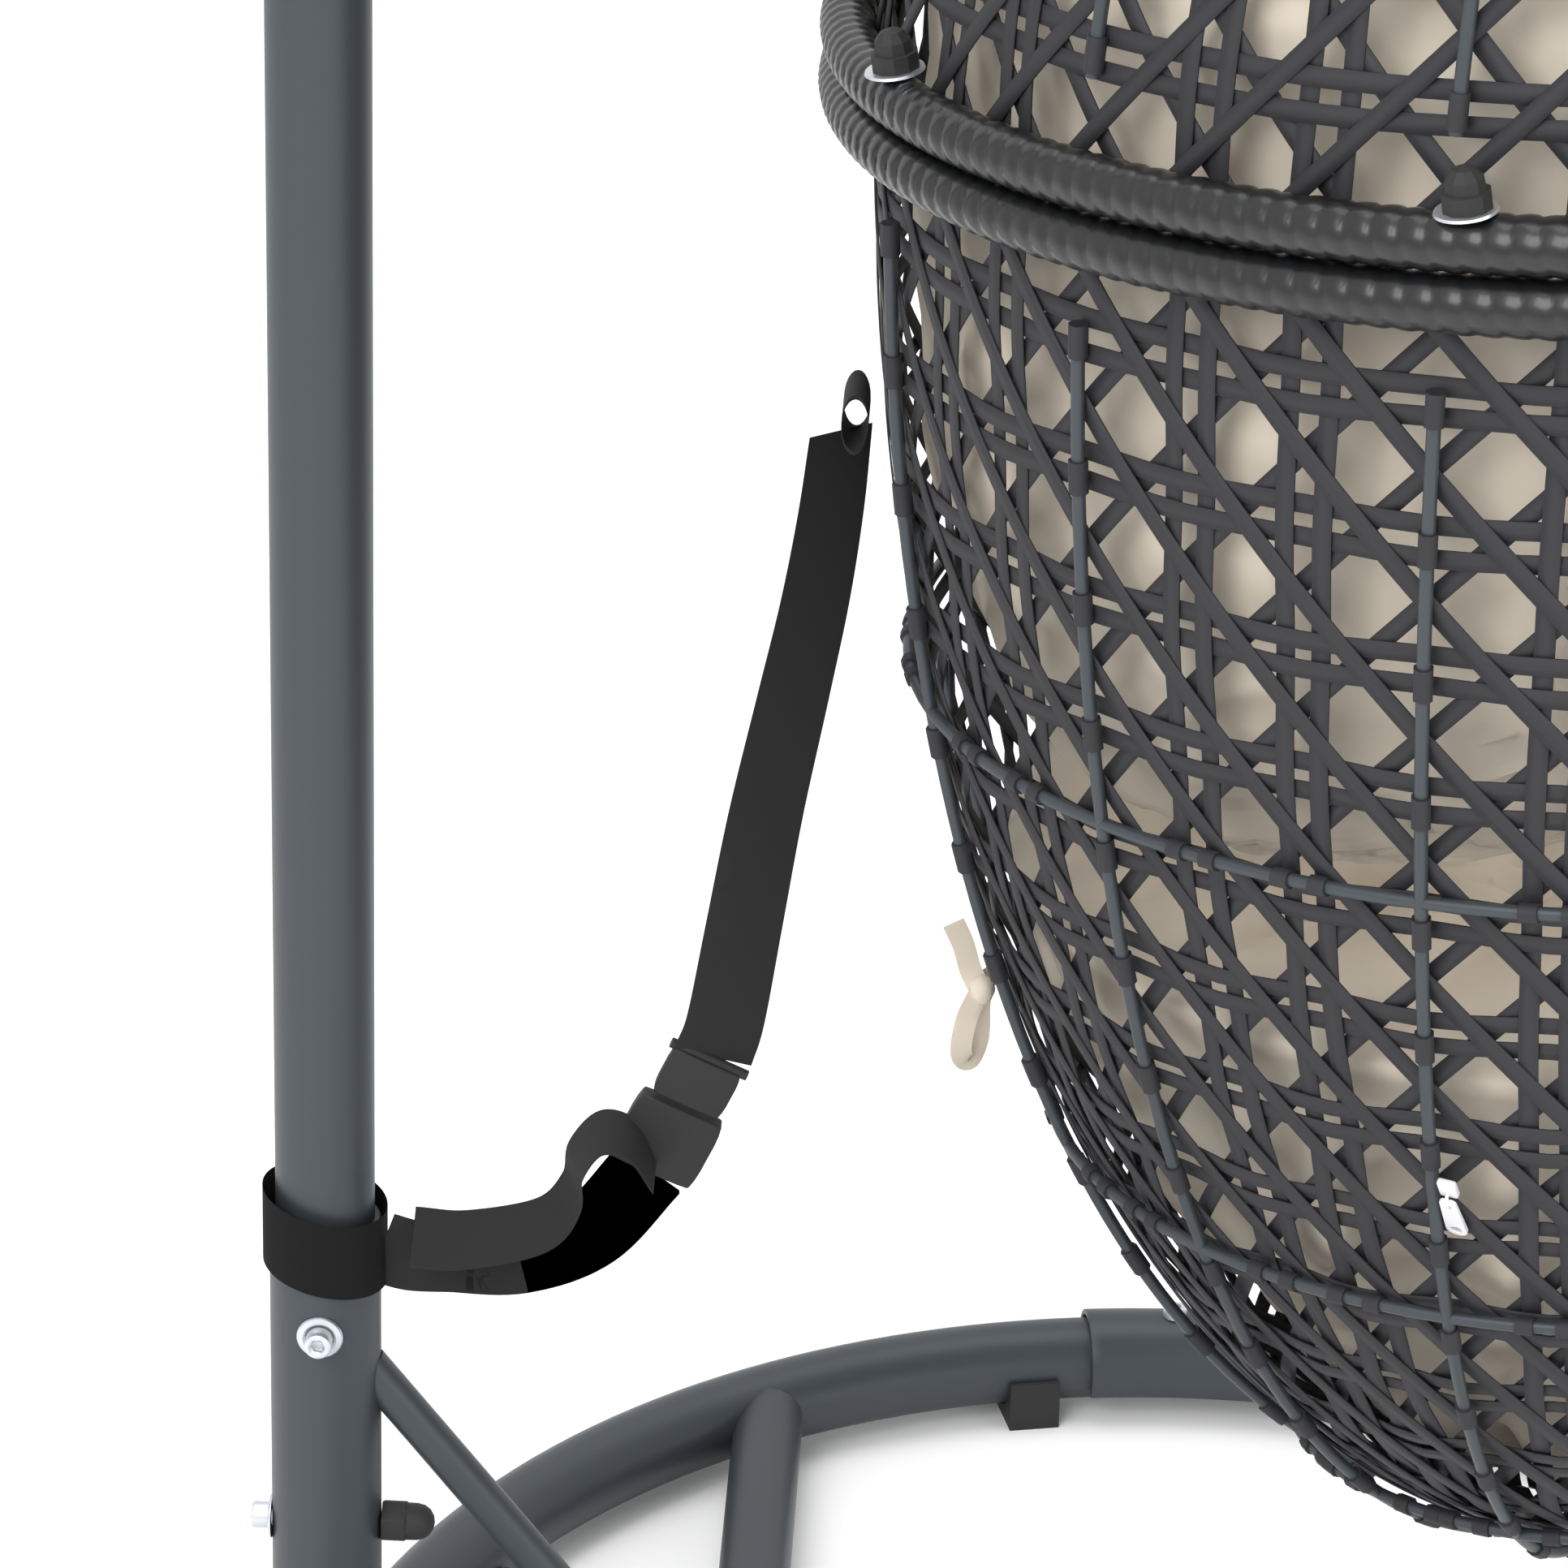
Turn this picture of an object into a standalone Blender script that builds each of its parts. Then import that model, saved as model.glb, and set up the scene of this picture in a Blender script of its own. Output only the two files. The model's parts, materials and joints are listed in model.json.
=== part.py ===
"""Hanging egg chair: a tubular stand, a woven basket hung from its arm, cushions and a safety strap.

Metres, +Z up, the front faces -Y. The origin is at the floor, in the middle of the whole chair.
Distances "forward" are counted from the post's axis towards the front of the chair.
"""

import math

import bmesh
import bpy
from mathutils import Matrix, Vector

# ---- driving dimensions ----------------------------------------------------------------------
POST_Y = 0.5095         # the post's axis, behind the origin
GAP = 0.0004            # clearance between pieces that touch on the real chair

RING_R = 0.445          # base ring, to the middle of its tube
RING_TUBE = 0.0225
RING_Z = 0.0280
CROSS_FORWARD = 0.205   # the tube across the base
CROSS_TUBE = 0.0190
SADDLE_ANGLE = math.radians(8.5)     # half of the length of a ring joint
SADDLE_WALL = 0.0030

STUB_R = 0.0225
LOWER_POST_R = 0.0270
LOWER_POST_WALL = 0.0024
LOWER_POST_TOP = 0.352
UPPER_POST_R = 0.0240
UPPER_POST_WALL = 0.0020
UPPER_POST_BOTTOM = 0.235
UPPER_POST_TOP = 1.340
ARM_R = 0.0215
ARM_TOP = 2.010         # highest point of the arm's middle line
ARM_REACH = 0.640
BRACE_R = 0.0100

HOOK_Z = 1.9150         # where the hanger turns in the arm's eye
HANG_FORWARD = 0.640
EYE_R = 0.0048
SHACKLE_R = 0.0040
SHACKLE_LENGTH = 0.0500     # between the two pieces that it links

BASKET_A = 0.392        # half depth of the woven shell
BASKET_B = 0.385        # half width
BASKET_LOW = 0.790      # from the waist down to the bottom
BASKET_HIGH = 0.500     # from the waist up to the crown
WAIST_Z = 1.030
TILT = 0.170            # rise of the waist towards the front
BACK_TAPER = 0.16       # how much narrower the basket is towards its back
SHELL_WALL = 0.0030
WIRE_R = 0.0030
RIM_R = 0.0125
OPEN_OFFSET = -0.125    # hood opening: plane across the unit egg
OPEN_LEAN = 0.150

CUSHION_NEAR = 0.0160    # from the weave to the cushions
SEAT_EDGE = 32           # degrees below the waist where the seat cushion ends
SEAT_THICK = 0.200

STRAP_WIDTH = 0.038
STRAP_THICK = 0.0018

# ---- materials -------------------------------------------------------------------------------
FINISHES = {
    "powder_coat": ((0.045, 0.052, 0.058, 1), 0.48, 0.35),
    "zinc": ((0.62, 0.64, 0.68, 1), 0.30, 0.95),
    "black_plastic": ((0.012, 0.012, 0.013, 1), 0.42, 0.0),
    "webbing": ((0.008, 0.008, 0.009, 1), 0.85, 0.0),
    "wicker": ((0.016, 0.017, 0.019, 1), 0.40, 0.0),
    "cushion_cloth": ((0.62, 0.55, 0.45, 1), 0.92, 0.0),
    "white_enamel": ((0.78, 0.77, 0.80, 1), 0.35, 0.2),
}


def finish(slot):
    material = bpy.data.materials.get(slot)
    if material is None:
        material = bpy.data.materials.new(slot)
        material.use_nodes = True
        shader = material.node_tree.nodes["Principled BSDF"]
        colour, roughness, metallic = FINISHES[slot]
        shader.inputs["Base Color"].default_value = colour
        shader.inputs["Roughness"].default_value = roughness
        shader.inputs["Metallic"].default_value = metallic
        material.diffuse_color = colour
    return material


# ---- helpers ---------------------------------------------------------------------------------
def at(forward, side, height):
    """A point given forward of the post's axis, to its right, and above the floor."""
    return Vector((side, POST_Y - forward, height))


def place(obj, slot, parent=None):
    chair.objects.link(obj)
    obj.data.materials.clear()
    obj.data.materials.append(finish(slot))
    if parent is not None:
        obj.parent = parent
        obj.matrix_parent_inverse = parent.matrix_world.inverted()
    return obj


def smooth(obj, angle=40):
    obj.data.shade_smooth()
    obj.data.set_sharp_from_angle(angle=math.radians(angle))
    return obj


def tubes(name, lines, radius, slot, cyclic=False, resolution=3, parent=None):
    """Round tubes along lists of points, with closed ends, in one object."""
    curve = bpy.data.curves.new(name, "CURVE")
    curve.dimensions = "3D"
    curve.bevel_depth = radius
    curve.bevel_resolution = resolution
    curve.use_fill_caps = not cyclic
    for points in lines:
        spline = curve.splines.new("POLY")
        spline.points.add(len(points) - 1)
        for target, point in zip(spline.points, points):
            target.co = (*point, 1)
        spline.use_cyclic_u = cyclic
    return place(bpy.data.objects.new(name, curve), slot, parent)


def tube(name, points, radius, slot, cyclic=False, resolution=3, parent=None):
    return tubes(name, [points], radius, slot, cyclic, resolution, parent)


def evaluated_mesh(obj):
    """The mesh that an object shows, welded, with the object itself removed."""
    graph = bpy.context.evaluated_depsgraph_get()
    mesh = bpy.data.meshes.new_from_object(obj.evaluated_get(graph))
    mesh.transform(obj.matrix_world)
    bpy.data.objects.remove(obj)
    form = bmesh.new()
    form.from_mesh(mesh)
    bmesh.ops.remove_doubles(form, verts=form.verts, dist=0.00001)
    bmesh.ops.recalc_face_normals(form, faces=form.faces)
    form.to_mesh(mesh)
    form.free()
    return mesh


def turned_mesh(profile, steps=16):
    """A turned solid about Z, from (radius, height) pairs that run down its outer side."""
    mesh = bpy.data.meshes.new("profile")
    mesh.from_pydata([(r, 0, z) for r, z in profile], [(i, i + 1) for i in range(len(profile) - 1)], [])
    obj = bpy.data.objects.new("profile", mesh)
    chair.objects.link(obj)
    screw = obj.modifiers.new("turn", "SCREW")
    screw.steps = screw.render_steps = steps
    screw.use_merge_vertices = True
    screw.merge_threshold = 0.00001
    bpy.context.view_layer.update()
    return evaluated_mesh(obj)


def along(direction, origin):
    """A matrix that carries +Z to a direction and the origin to a point."""
    turn = Vector((0, 0, 1)).rotation_difference(Vector(direction)).to_matrix().to_4x4()
    return Matrix.Translation(origin) @ turn


def solid(name, mesh, matrix, slot, parent=None):
    """One object from a mesh, placed by a matrix."""
    mesh.transform(matrix)
    mesh.name = name
    return smooth(place(bpy.data.objects.new(name, mesh), slot, parent))


def welded(name, pieces, slot, parent=None):
    """Tubes that are welded into one frame: their union, as one closed solid."""
    meshes = [evaluated_mesh(piece) for piece in pieces]
    frame_object = bpy.data.objects.new(name, meshes[0])
    chair.objects.link(frame_object)
    for number, mesh in enumerate(meshes[1:]):
        other = bpy.data.objects.new(f"{name}_weld_{number}", mesh)
        chair.objects.link(other)
        join = frame_object.modifiers.new("weld", "BOOLEAN")
        join.operation = "UNION"
        join.object = other
        bpy.context.view_layer.update()
        graph = bpy.context.evaluated_depsgraph_get()
        joined = bpy.data.meshes.new_from_object(frame_object.evaluated_get(graph))
        frame_object.modifiers.clear()
        frame_object.data = joined
        bpy.data.objects.remove(other)
    chair.objects.unlink(frame_object)
    return smooth(place(frame_object, slot, parent))


def trimmed(piece, *cutters):
    """Cuts the end of a tube to the round of its neighbours; each cutter is (line, radius, closed)."""
    name = piece.name
    slot = piece.data.materials[0].name
    mesh = evaluated_mesh(piece)
    result = bpy.data.objects.new(name, mesh)
    chair.objects.link(result)
    for line, radius, closed in cutters:
        # a 16-sided cutter whose flats, not its corners, clear the neighbour
        wide = (radius + 2 * GAP) / math.cos(math.pi / 16)
        tool = tube(name + "_cutter", line, wide, slot, cyclic=closed, resolution=6)
        tool_mesh = evaluated_mesh(tool)
        tool = bpy.data.objects.new(name + "_cutter", tool_mesh)
        chair.objects.link(tool)
        cut = result.modifiers.new("cut", "BOOLEAN")
        cut.operation = "DIFFERENCE"
        cut.object = tool
        bpy.context.view_layer.update()
        graph = bpy.context.evaluated_depsgraph_get()
        result.data = bpy.data.meshes.new_from_object(result.evaluated_get(graph))
        result.modifiers.clear()
        bpy.data.objects.remove(tool)
    chair.objects.unlink(result)
    return smooth(place(result, slot))


def block_mesh(size, bevel=0.0, cut=None):
    """A box about its own middle, with rounded edges."""
    form = bmesh.new()
    bmesh.ops.create_cube(form, size=1.0, matrix=Matrix.Diagonal((*size, 1)))
    if bevel:
        bmesh.ops.bevel(form, geom=form.edges[:], offset=bevel, segments=2, profile=0.5, affect="EDGES")
    mesh = bpy.data.meshes.new("block")
    form.to_mesh(mesh)
    form.free()
    return mesh


def ribbon(name, points, widths, slot, thickness=STRAP_THICK, parent=None):
    """Webbing along points, each with its own half-width vector."""
    mesh = bpy.data.meshes.new(name)
    corners = [p - w for p, w in zip(points, widths)] + [p + w for p, w in zip(points, widths)]
    count = len(points)
    faces = [(i, i + 1, count + i + 1, count + i) for i in range(count - 1)]
    mesh.from_pydata(corners, [], faces)
    obj = place(bpy.data.objects.new(name, mesh), slot, parent)
    wall = obj.modifiers.new("thickness", "SOLIDIFY")
    wall.thickness = thickness
    wall.offset = 0
    return obj


def arc(count, first, last):
    """Angles from first to last, both included."""
    return [first + (last - first) * i / (count - 1) for i in range(count)]


def through(points, per_span):
    """A smooth line through hand-placed points (Catmull-Rom)."""
    line = []
    for i in range(len(points) - 1):
        before = points[i - 1] if i else points[0] * 2 - points[1]
        after = points[i + 2] if i + 2 < len(points) else points[-1] * 2 - points[-2]
        a, b = points[i], points[i + 1]
        for k in range(per_span):
            t = k / per_span
            line.append(0.5 * (2 * a + (b - before) * t + (2 * before - 5 * a + 4 * b - after) * t * t
                               + (3 * a - before - 3 * b + after) * t ** 3))
    return line + [points[-1]]


# ---- stand -----------------------------------------------------------------------------------
def ring_point(angle, radius=RING_R, height=RING_Z):
    """A point on the base ring; angle 0 is at the post, and a quarter turn is the right side."""
    return at(RING_R - radius * math.cos(angle), radius * math.sin(angle), height)


def base_ring():
    """Two half rings: a short first and last step squares their ends off where they meet in the side joints."""
    quarter = math.pi / 2
    gap = 0.0012
    step = 0.01
    for name, first, last in (("base_ring_back", -quarter, quarter), ("base_ring_front", quarter, 3 * quarter)):
        turns = [first + gap, *arc(25, first + gap + step, last - gap - step), last - gap]
        tube(name, [ring_point(turn) for turn in turns], RING_TUBE, "powder_coat", resolution=2)


def saddle(name, middle):
    """A U-shaped shell over a ring joint, open below: a partial ring section swept along the arc."""
    form = bmesh.new()
    inner = RING_TUBE + 0.0016
    outer = inner + SADDLE_WALL
    span = math.radians(118)
    section = [(inner, a) for a in arc(9, -span, span)] + [(outer, a) for a in arc(9, span, -span)]
    loops = []
    for angle in arc(5, middle - SADDLE_ANGLE, middle + SADDLE_ANGLE):
        loop = []
        for radius, turn in section:
            across = radius * math.sin(turn)
            loop.append(form.verts.new(ring_point(angle, RING_R + across, RING_Z + radius * math.cos(turn))))
        loops.append(loop)
    for a, b in zip(loops, loops[1:]):
        for i in range(len(section)):
            j = (i + 1) % len(section)
            form.faces.new((a[i], a[j], b[j], b[i]))
    form.faces.new(loops[0])
    form.faces.new(reversed(loops[-1]))
    bmesh.ops.recalc_face_normals(form, faces=form.faces)
    mesh = bpy.data.meshes.new(name)
    form.to_mesh(mesh)
    form.free()
    smooth(place(bpy.data.objects.new(name, mesh), "powder_coat"))


def base_foot(name, spot):
    """A clip-on foot: a half-round cradle round the tube's lower half, on a flat pad."""
    inner = RING_TUBE + 0.0010
    outer = inner + 0.0030
    half = 0.014 / RING_R
    section = [(inner * math.sin(a), -inner * math.cos(a)) for a in arc(9, math.pi / 2, -math.pi / 2)]
    section += [(-outer, 0), (-outer - 0.0015, -RING_Z), (outer + 0.0015, -RING_Z), (outer, 0)]
    form = bmesh.new()
    outline = [form.verts.new(ring_point(spot - half, RING_R + x, RING_Z + z)) for x, z in section]
    side = form.faces.new(outline)
    grown = bmesh.ops.extrude_face_region(form, geom=[side])
    shift = ring_point(spot + half) - ring_point(spot - half)
    bmesh.ops.translate(form, verts=[v for v in grown["geom"] if isinstance(v, bmesh.types.BMVert)], vec=shift)
    bmesh.ops.recalc_face_normals(form, faces=form.faces)
    mesh = bpy.data.meshes.new(name)
    form.to_mesh(mesh)
    form.free()
    place(bpy.data.objects.new(name, mesh), "black_plastic")


def hollow_tube(name, radius, wall, bottom, top, slot, steps=18):
    """An upright tube open at both ends, about the post's axis."""
    inner = radius - wall
    mesh = bpy.data.meshes.new(name)
    profile = [(inner, top), (radius, top), (radius, bottom), (inner, bottom), (inner, top)]
    mesh.from_pydata([(r, 0, z) for r, z in profile[:-1]], [(0, 1), (1, 2), (2, 3), (3, 0)], [])
    obj = bpy.data.objects.new(name, mesh)
    obj.location = at(0, 0, 0)
    screw = obj.modifiers.new("turn", "SCREW")
    screw.steps = screw.render_steps = steps
    screw.use_merge_vertices = True
    screw.merge_threshold = 0.00001
    return smooth(place(obj, slot))


def ring_cutter():
    return [ring_point(turn) for turn in arc(73, 0, 2 * math.pi)[:-1]], RING_TUBE, True


def cross_tubes():
    """The tube across the base, and the spine from the post's foot to it; their ends fit the round tubes."""
    depth = RING_R - CROSS_FORWARD
    reach = math.sqrt(RING_R ** 2 - depth ** 2)
    cross = [at(CROSS_FORWARD, -reach, RING_Z), at(CROSS_FORWARD, 0, RING_Z), at(CROSS_FORWARD, reach, RING_Z)]
    trimmed(tube("cross_tube", cross, CROSS_TUBE, "powder_coat"), ring_cutter())
    spine = [at(0, 0, RING_Z), at(CROSS_FORWARD, 0, RING_Z)]
    trimmed(tube("spine_tube", spine, 0.0170, "powder_coat"), ring_cutter(), (cross, CROSS_TUBE, False))
    return cross


def post(cross):
    stub_bottom = RING_Z + RING_TUBE + GAP
    hollow_tube("post_stub", STUB_R, 0.0022, stub_bottom, 0.225, "powder_coat")
    outer = hollow_tube("lower_post", LOWER_POST_R, LOWER_POST_WALL, RING_Z + 0.014, LOWER_POST_TOP, "powder_coat")
    spine = [at(0, 0, RING_Z), at(CROSS_FORWARD, 0, RING_Z)]
    trimmed(outer, ring_cutter(), (spine, 0.0170, False))
    hollow_tube("upper_post", UPPER_POST_R, UPPER_POST_WALL, UPPER_POST_BOTTOM, UPPER_POST_TOP, "powder_coat")
    start, stop = at(0.010, 0, 0.283), at(CROSS_FORWARD, 0, RING_Z + 0.002)
    core = [at(0, 0, 0.020), at(0, 0, 0.400)]
    brace = tube("post_brace", [start, start.lerp(stop, 0.5), stop], BRACE_R, "powder_coat")
    trimmed(brace, (core, LOWER_POST_R, False), (cross, CROSS_TUBE, False), (spine, 0.0170, False))


def arm():
    """The arched top of the post: it slides into the upper post and carries the eye."""
    bend = 0.300
    straight = [at(0, 0, z) for z in (UPPER_POST_TOP - 0.12, UPPER_POST_TOP, ARM_TOP - bend - 0.05)]
    curve = [at(bend - bend * math.cos(a), 0, ARM_TOP - bend + bend * math.sin(a))
             for a in arc(13, 0.02, math.radians(86))]
    reach = [at(bend + 0.02 + (ARM_REACH + 0.035 - bend - 0.02) * k / 3, 0, ARM_TOP - 0.004 * k)
             for k in range(1, 4)]
    tube("arm_tube", straight + curve + reach, ARM_R, "powder_coat")
    tip = reach[-1]
    plug = turned_mesh([(0, 0.008), (0.012, 0.0075), (0.0205, 0.004), (0.0215, 0), (0, 0)], 20)
    solid("arm_end_plug", plug, along((0, -1, -0.03), tip + Vector((0, -GAP * 2, 0))), "black_plastic")
    collar = turned_mesh([(0.0245 + 0.003, 0.014), (0.0245 + 0.003, -0.014), (0.0245, -0.014), (0.0245, 0.014),
                          (0.0245 + 0.003, 0.014)], 18)
    solid("arm_joint_collar", collar, Matrix.Translation(at(0, 0, UPPER_POST_TOP - 0.03)), "black_plastic")


def arm_eye():
    """A bent rod under the arm: the shackle hangs in it, and bears on it at HOOK_Z."""
    top = ARM_TOP - 0.0085 - ARM_R - EYE_R - GAP
    low = HOOK_Z - EYE_R
    half = 0.0170
    bend = 0.0210
    line = [at(HANG_FORWARD - half, 0, top)]
    line += [at(HANG_FORWARD - half * math.cos(a), 0, low + bend - bend * math.sin(a)) for a in arc(9, 0, math.pi)]
    line += [at(HANG_FORWARD + half, 0, top)]
    tube("arm_eye", line, EYE_R, "powder_coat", resolution=2)


def cross_bolt(prefix, height, side, radius, both):
    """A socket-head bolt through the post, with a dished washer, along X (side) or Y."""
    direction = Vector((side, 0, 0)) if not both else Vector((0, 1, 0))
    head = turned_mesh([(0, 0.0060), (0.0034, 0.0060), (0.0034, 0.0100), (0.0060, 0.0100), (0.0066, 0.0094),
                        (0.0066, 0.0018), (0, 0.0018)], 12)
    washer = turned_mesh([(0.0068, 0.0014), (0.0068, 0.0026), (0.0112, 0.0006), (0.0112, 0.0), (0.0042, 0.0),
                          (0.0042, 0.0014), (0.0068, 0.0014)], 14)
    origin = at(0, 0, height) + direction * (radius + GAP)
    solid(prefix + "_washer", washer, along(direction, origin), "zinc")
    solid(prefix + "_head", head, along(direction, origin + direction * 0.0012), "zinc")
    nut = turned_mesh([(0, 0.0262), (0.0050, 0.0250), (0.0086, 0.0205), (0.0092, 0.0150), (0.0110, 0.0145),
                       (0.0110, 0.0015), (0, 0.0015)], 12)
    solid(prefix + "_cap_nut", nut, along(-direction, at(0, 0, height) - direction * (radius + GAP)), "black_plastic")


# ---- strap -----------------------------------------------------------------------------------
def strap():
    """The safety strap: a cuff round the post, webbing, a side-release buckle and a loop on the basket."""
    radius = LOWER_POST_R + 0.0030
    cuff_z = 0.352
    loop = [at(radius * math.cos(a), radius * math.sin(a), cuff_z - 0.012 * math.cos(a))
            for a in arc(25, math.radians(24), math.radians(336))]
    up = Vector((0, 0, STRAP_WIDTH / 2))
    ribbon("strap_cuff", loop, [up] * len(loop), "webbing", thickness=0.0024)
    low = through([at(0.036, 0.0, 0.338), at(0.060, 0, 0.333), at(0.094, 0, 0.334), at(0.128, 0, 0.350),
                   at(0.150, 0, 0.374)], 5)
    ribbon("strap_lower", low, across(low, 0, 0), "webbing")
    high = through([at(0.1915, 0, 0.470), at(0.199, 0, 0.520), at(0.208, 0, 0.580), at(0.219, 0, 0.640),
                    at(0.228, 0, 0.690), at(0.234, 0, 0.735), at(0.2375, 0, 0.775)], 4)
    ribbon("strap_upper", high, across(high, 0.15, 0.75), "webbing")
    front = -0.0110
    tail = through([at(0.154, front, 0.394), at(0.142, front, 0.409), at(0.126, front, 0.402),
                    at(0.120, front, 0.380), at(0.106, front, 0.364), at(0.070, front, 0.352)], 4)
    ribbon("strap_tail", tail, [w * 0.82 for w in across(tail, 0.12, 0)], "webbing")
    line = (at(0.1880, 0, 0.458) - at(0.1530, 0, 0.380)).normalized()
    flat = Vector((1, 0, 0))
    turn = Matrix((flat, line.cross(flat), line)).transposed().to_4x4()
    body = block_mesh((0.011, 0.044, 0.040), 0.0022)
    tongue = block_mesh((0.009, 0.036, 0.026), 0.0018)
    middle = at(0.1705, 0, 0.4170)
    solid("buckle_socket", body, Matrix.Translation(middle - line * 0.015) @ turn, "black_plastic")
    solid("buckle_tongue", tongue, Matrix.Translation(middle + line * 0.0195) @ turn, "black_plastic")


def across(points, first_turn, last_turn):
    """Half-width vectors of webbing in the chair's middle plane, turned about its line by an angle."""
    result = []
    for i, point in enumerate(points):
        ahead = points[min(i + 1, len(points) - 1)] - points[max(i - 1, 0)]
        turn = first_turn + (last_turn - first_turn) * i / (len(points) - 1)
        flat = Vector((1, 0, 0)).cross(ahead).normalized()
        result.append((Matrix.Rotation(turn, 3, ahead.normalized()) @ flat) * STRAP_WIDTH / 2)
    return result


# ---- basket ----------------------------------------------------------------------------------
def egg(direction, out=0.0):
    """Carries a point of the unit sphere (side, forward, up) to the basket, moved out by a distance."""
    side, forward, up = direction
    height = BASKET_HIGH if up > 0 else BASKET_LOW
    taper = 1 - BACK_TAPER * max(0.0, -forward) ** 1.5
    rise = TILT * (BASKET_A + out) * forward
    return at(HANG_FORWARD + (BASKET_A + out) * forward, (BASKET_B + out) * side * taper,
              WAIST_Z + (height + out) * up + rise)


def around(turn, up):
    """A point of the unit sphere at a turn about the upright axis (0 at the front) and a height."""
    level = math.sqrt(max(0.0, 1 - up * up))
    return (level * math.sin(turn), level * math.cos(turn), up)


def shell(name, cuts, wall):
    """A woven wall: the unit sphere cut by planes, carried to the egg, and thickened inwards."""
    form = bmesh.new()
    bmesh.ops.create_uvsphere(form, u_segments=30, v_segments=15, radius=1)
    for origin, normal in cuts:
        bmesh.ops.bisect_plane(form, geom=form.verts[:] + form.edges[:] + form.faces[:], plane_co=origin,
                               plane_no=normal, clear_outer=True, dist=0.0001)
    for vert in form.verts:
        vert.co = egg(vert.co)
    bmesh.ops.recalc_face_normals(form, faces=form.faces)
    middle = egg((0, 0, 0))
    if sum((f.calc_center_median() - middle).dot(f.normal) for f in form.faces) < 0:
        bmesh.ops.reverse_faces(form, faces=form.faces)
    mesh = bpy.data.meshes.new(name)
    form.to_mesh(mesh)
    form.free()
    obj = smooth(place(bpy.data.objects.new(name, mesh), "wicker", basket))
    thick = obj.modifiers.new("wall", "SOLIDIFY")
    thick.thickness = wall
    thick.offset = -1
    return obj


def basket_rims():
    """Two wrapped rims, one on the other: a full loop on the bowl, and the hood's U that rises into an arch."""
    out = RIM_R + 0.0005
    stack = RIM_R + GAP
    bowl = [egg(around(2 * math.pi * k / 30, 0), out) - Vector((0, 0, stack)) for k in range(30)]
    tube("bowl_rim", bowl, RIM_R, "wicker", cyclic=True, resolution=2, parent=basket)
    edge = math.acos(OPEN_OFFSET) - 0.01
    waist = [egg(around(a, 0), out) + Vector((0, 0, stack)) for a in arc(23, edge + 0.075, 2 * math.pi - edge - 0.075)]
    tube("hood_rim", waist, RIM_R, "wicker", resolution=2, parent=basket)
    arch = []
    for a in arc(23, 0.07, math.pi - 0.07):
        # the circle where the opening's plane meets the unit sphere
        lean = math.hypot(1, OPEN_LEAN)
        middle = OPEN_OFFSET / lean
        radius = math.sqrt(1 - middle * middle)
        side = radius * math.cos(a)
        rise = radius * math.sin(a)
        forward = (middle + rise * OPEN_LEAN) / lean
        up = (rise - middle * OPEN_LEAN) / lean
        arch.append(egg((side, forward, up), out) + Vector((0, 0, stack)))
    tube("opening_rim", arch, RIM_R, "wicker", resolution=2, parent=basket)
    return arch


def basket_frames():
    """Two welded wire frames outside the weave: level hoops, and upright ribs that cross them."""
    out = WIRE_R + 0.0012

    def hoop(up, first=0, last=348):
        # a point every 12 degrees, as on the weave that it lies on
        line = [egg(around(math.radians(turn), up), out) for turn in range(first, last + 1, 12)]
        return tube(f"hoop_{up}", line, WIRE_R, "powder_coat", cyclic=last - first == 348, resolution=0)

    def rib(turn, rises, sign):
        line = [egg(around(math.radians(turn), sign * math.sin(math.radians(rise))), out) for rise in rises]
        return tube(f"rib_{turn}", line, WIRE_R, "powder_coat", resolution=0)

    low = [rib(turn, (4, *range(6, 79, 12), 80), -1) for turn in (2, 28, 54, 80, 106, 132, 157)]
    low += [rib(turn, (4, *range(6, 79, 12), 80), -1) for turn in (183, 207, 232, 258, 284, 310, 336)]
    welded("bowl_frame", [hoop(up) for up in (-0.37, -0.67, -0.90, -0.978)] + low, "powder_coat", basket)
    high = [rib(turn, (*range(6, 67, 12), 71), 1) for turn in (132, 157, 183, 207, 232)]
    welded("hood_frame", [hoop(0.45, 108, 252), hoop(0.93, 120, 240)] + high, "powder_coat", basket)


def link(name, middle, half_width, half_height, radius, facing, slot, parent=None, steps=12):
    """A closed link of rod with full ends, in the plane across the chair ("front") or along it ("side")."""
    line = []
    for a in arc(steps + 1, 0, 2 * math.pi)[:-1]:
        wide = half_width * math.copysign(abs(math.cos(a)) ** 0.6, math.cos(a))
        high = half_height * math.sin(a)
        line.append(middle + (Vector((wide, 0, high)) if facing == "front" else Vector((0, wide, high))))
    tube(name, line, radius, slot, cyclic=True, resolution=1, parent=parent)


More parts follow.
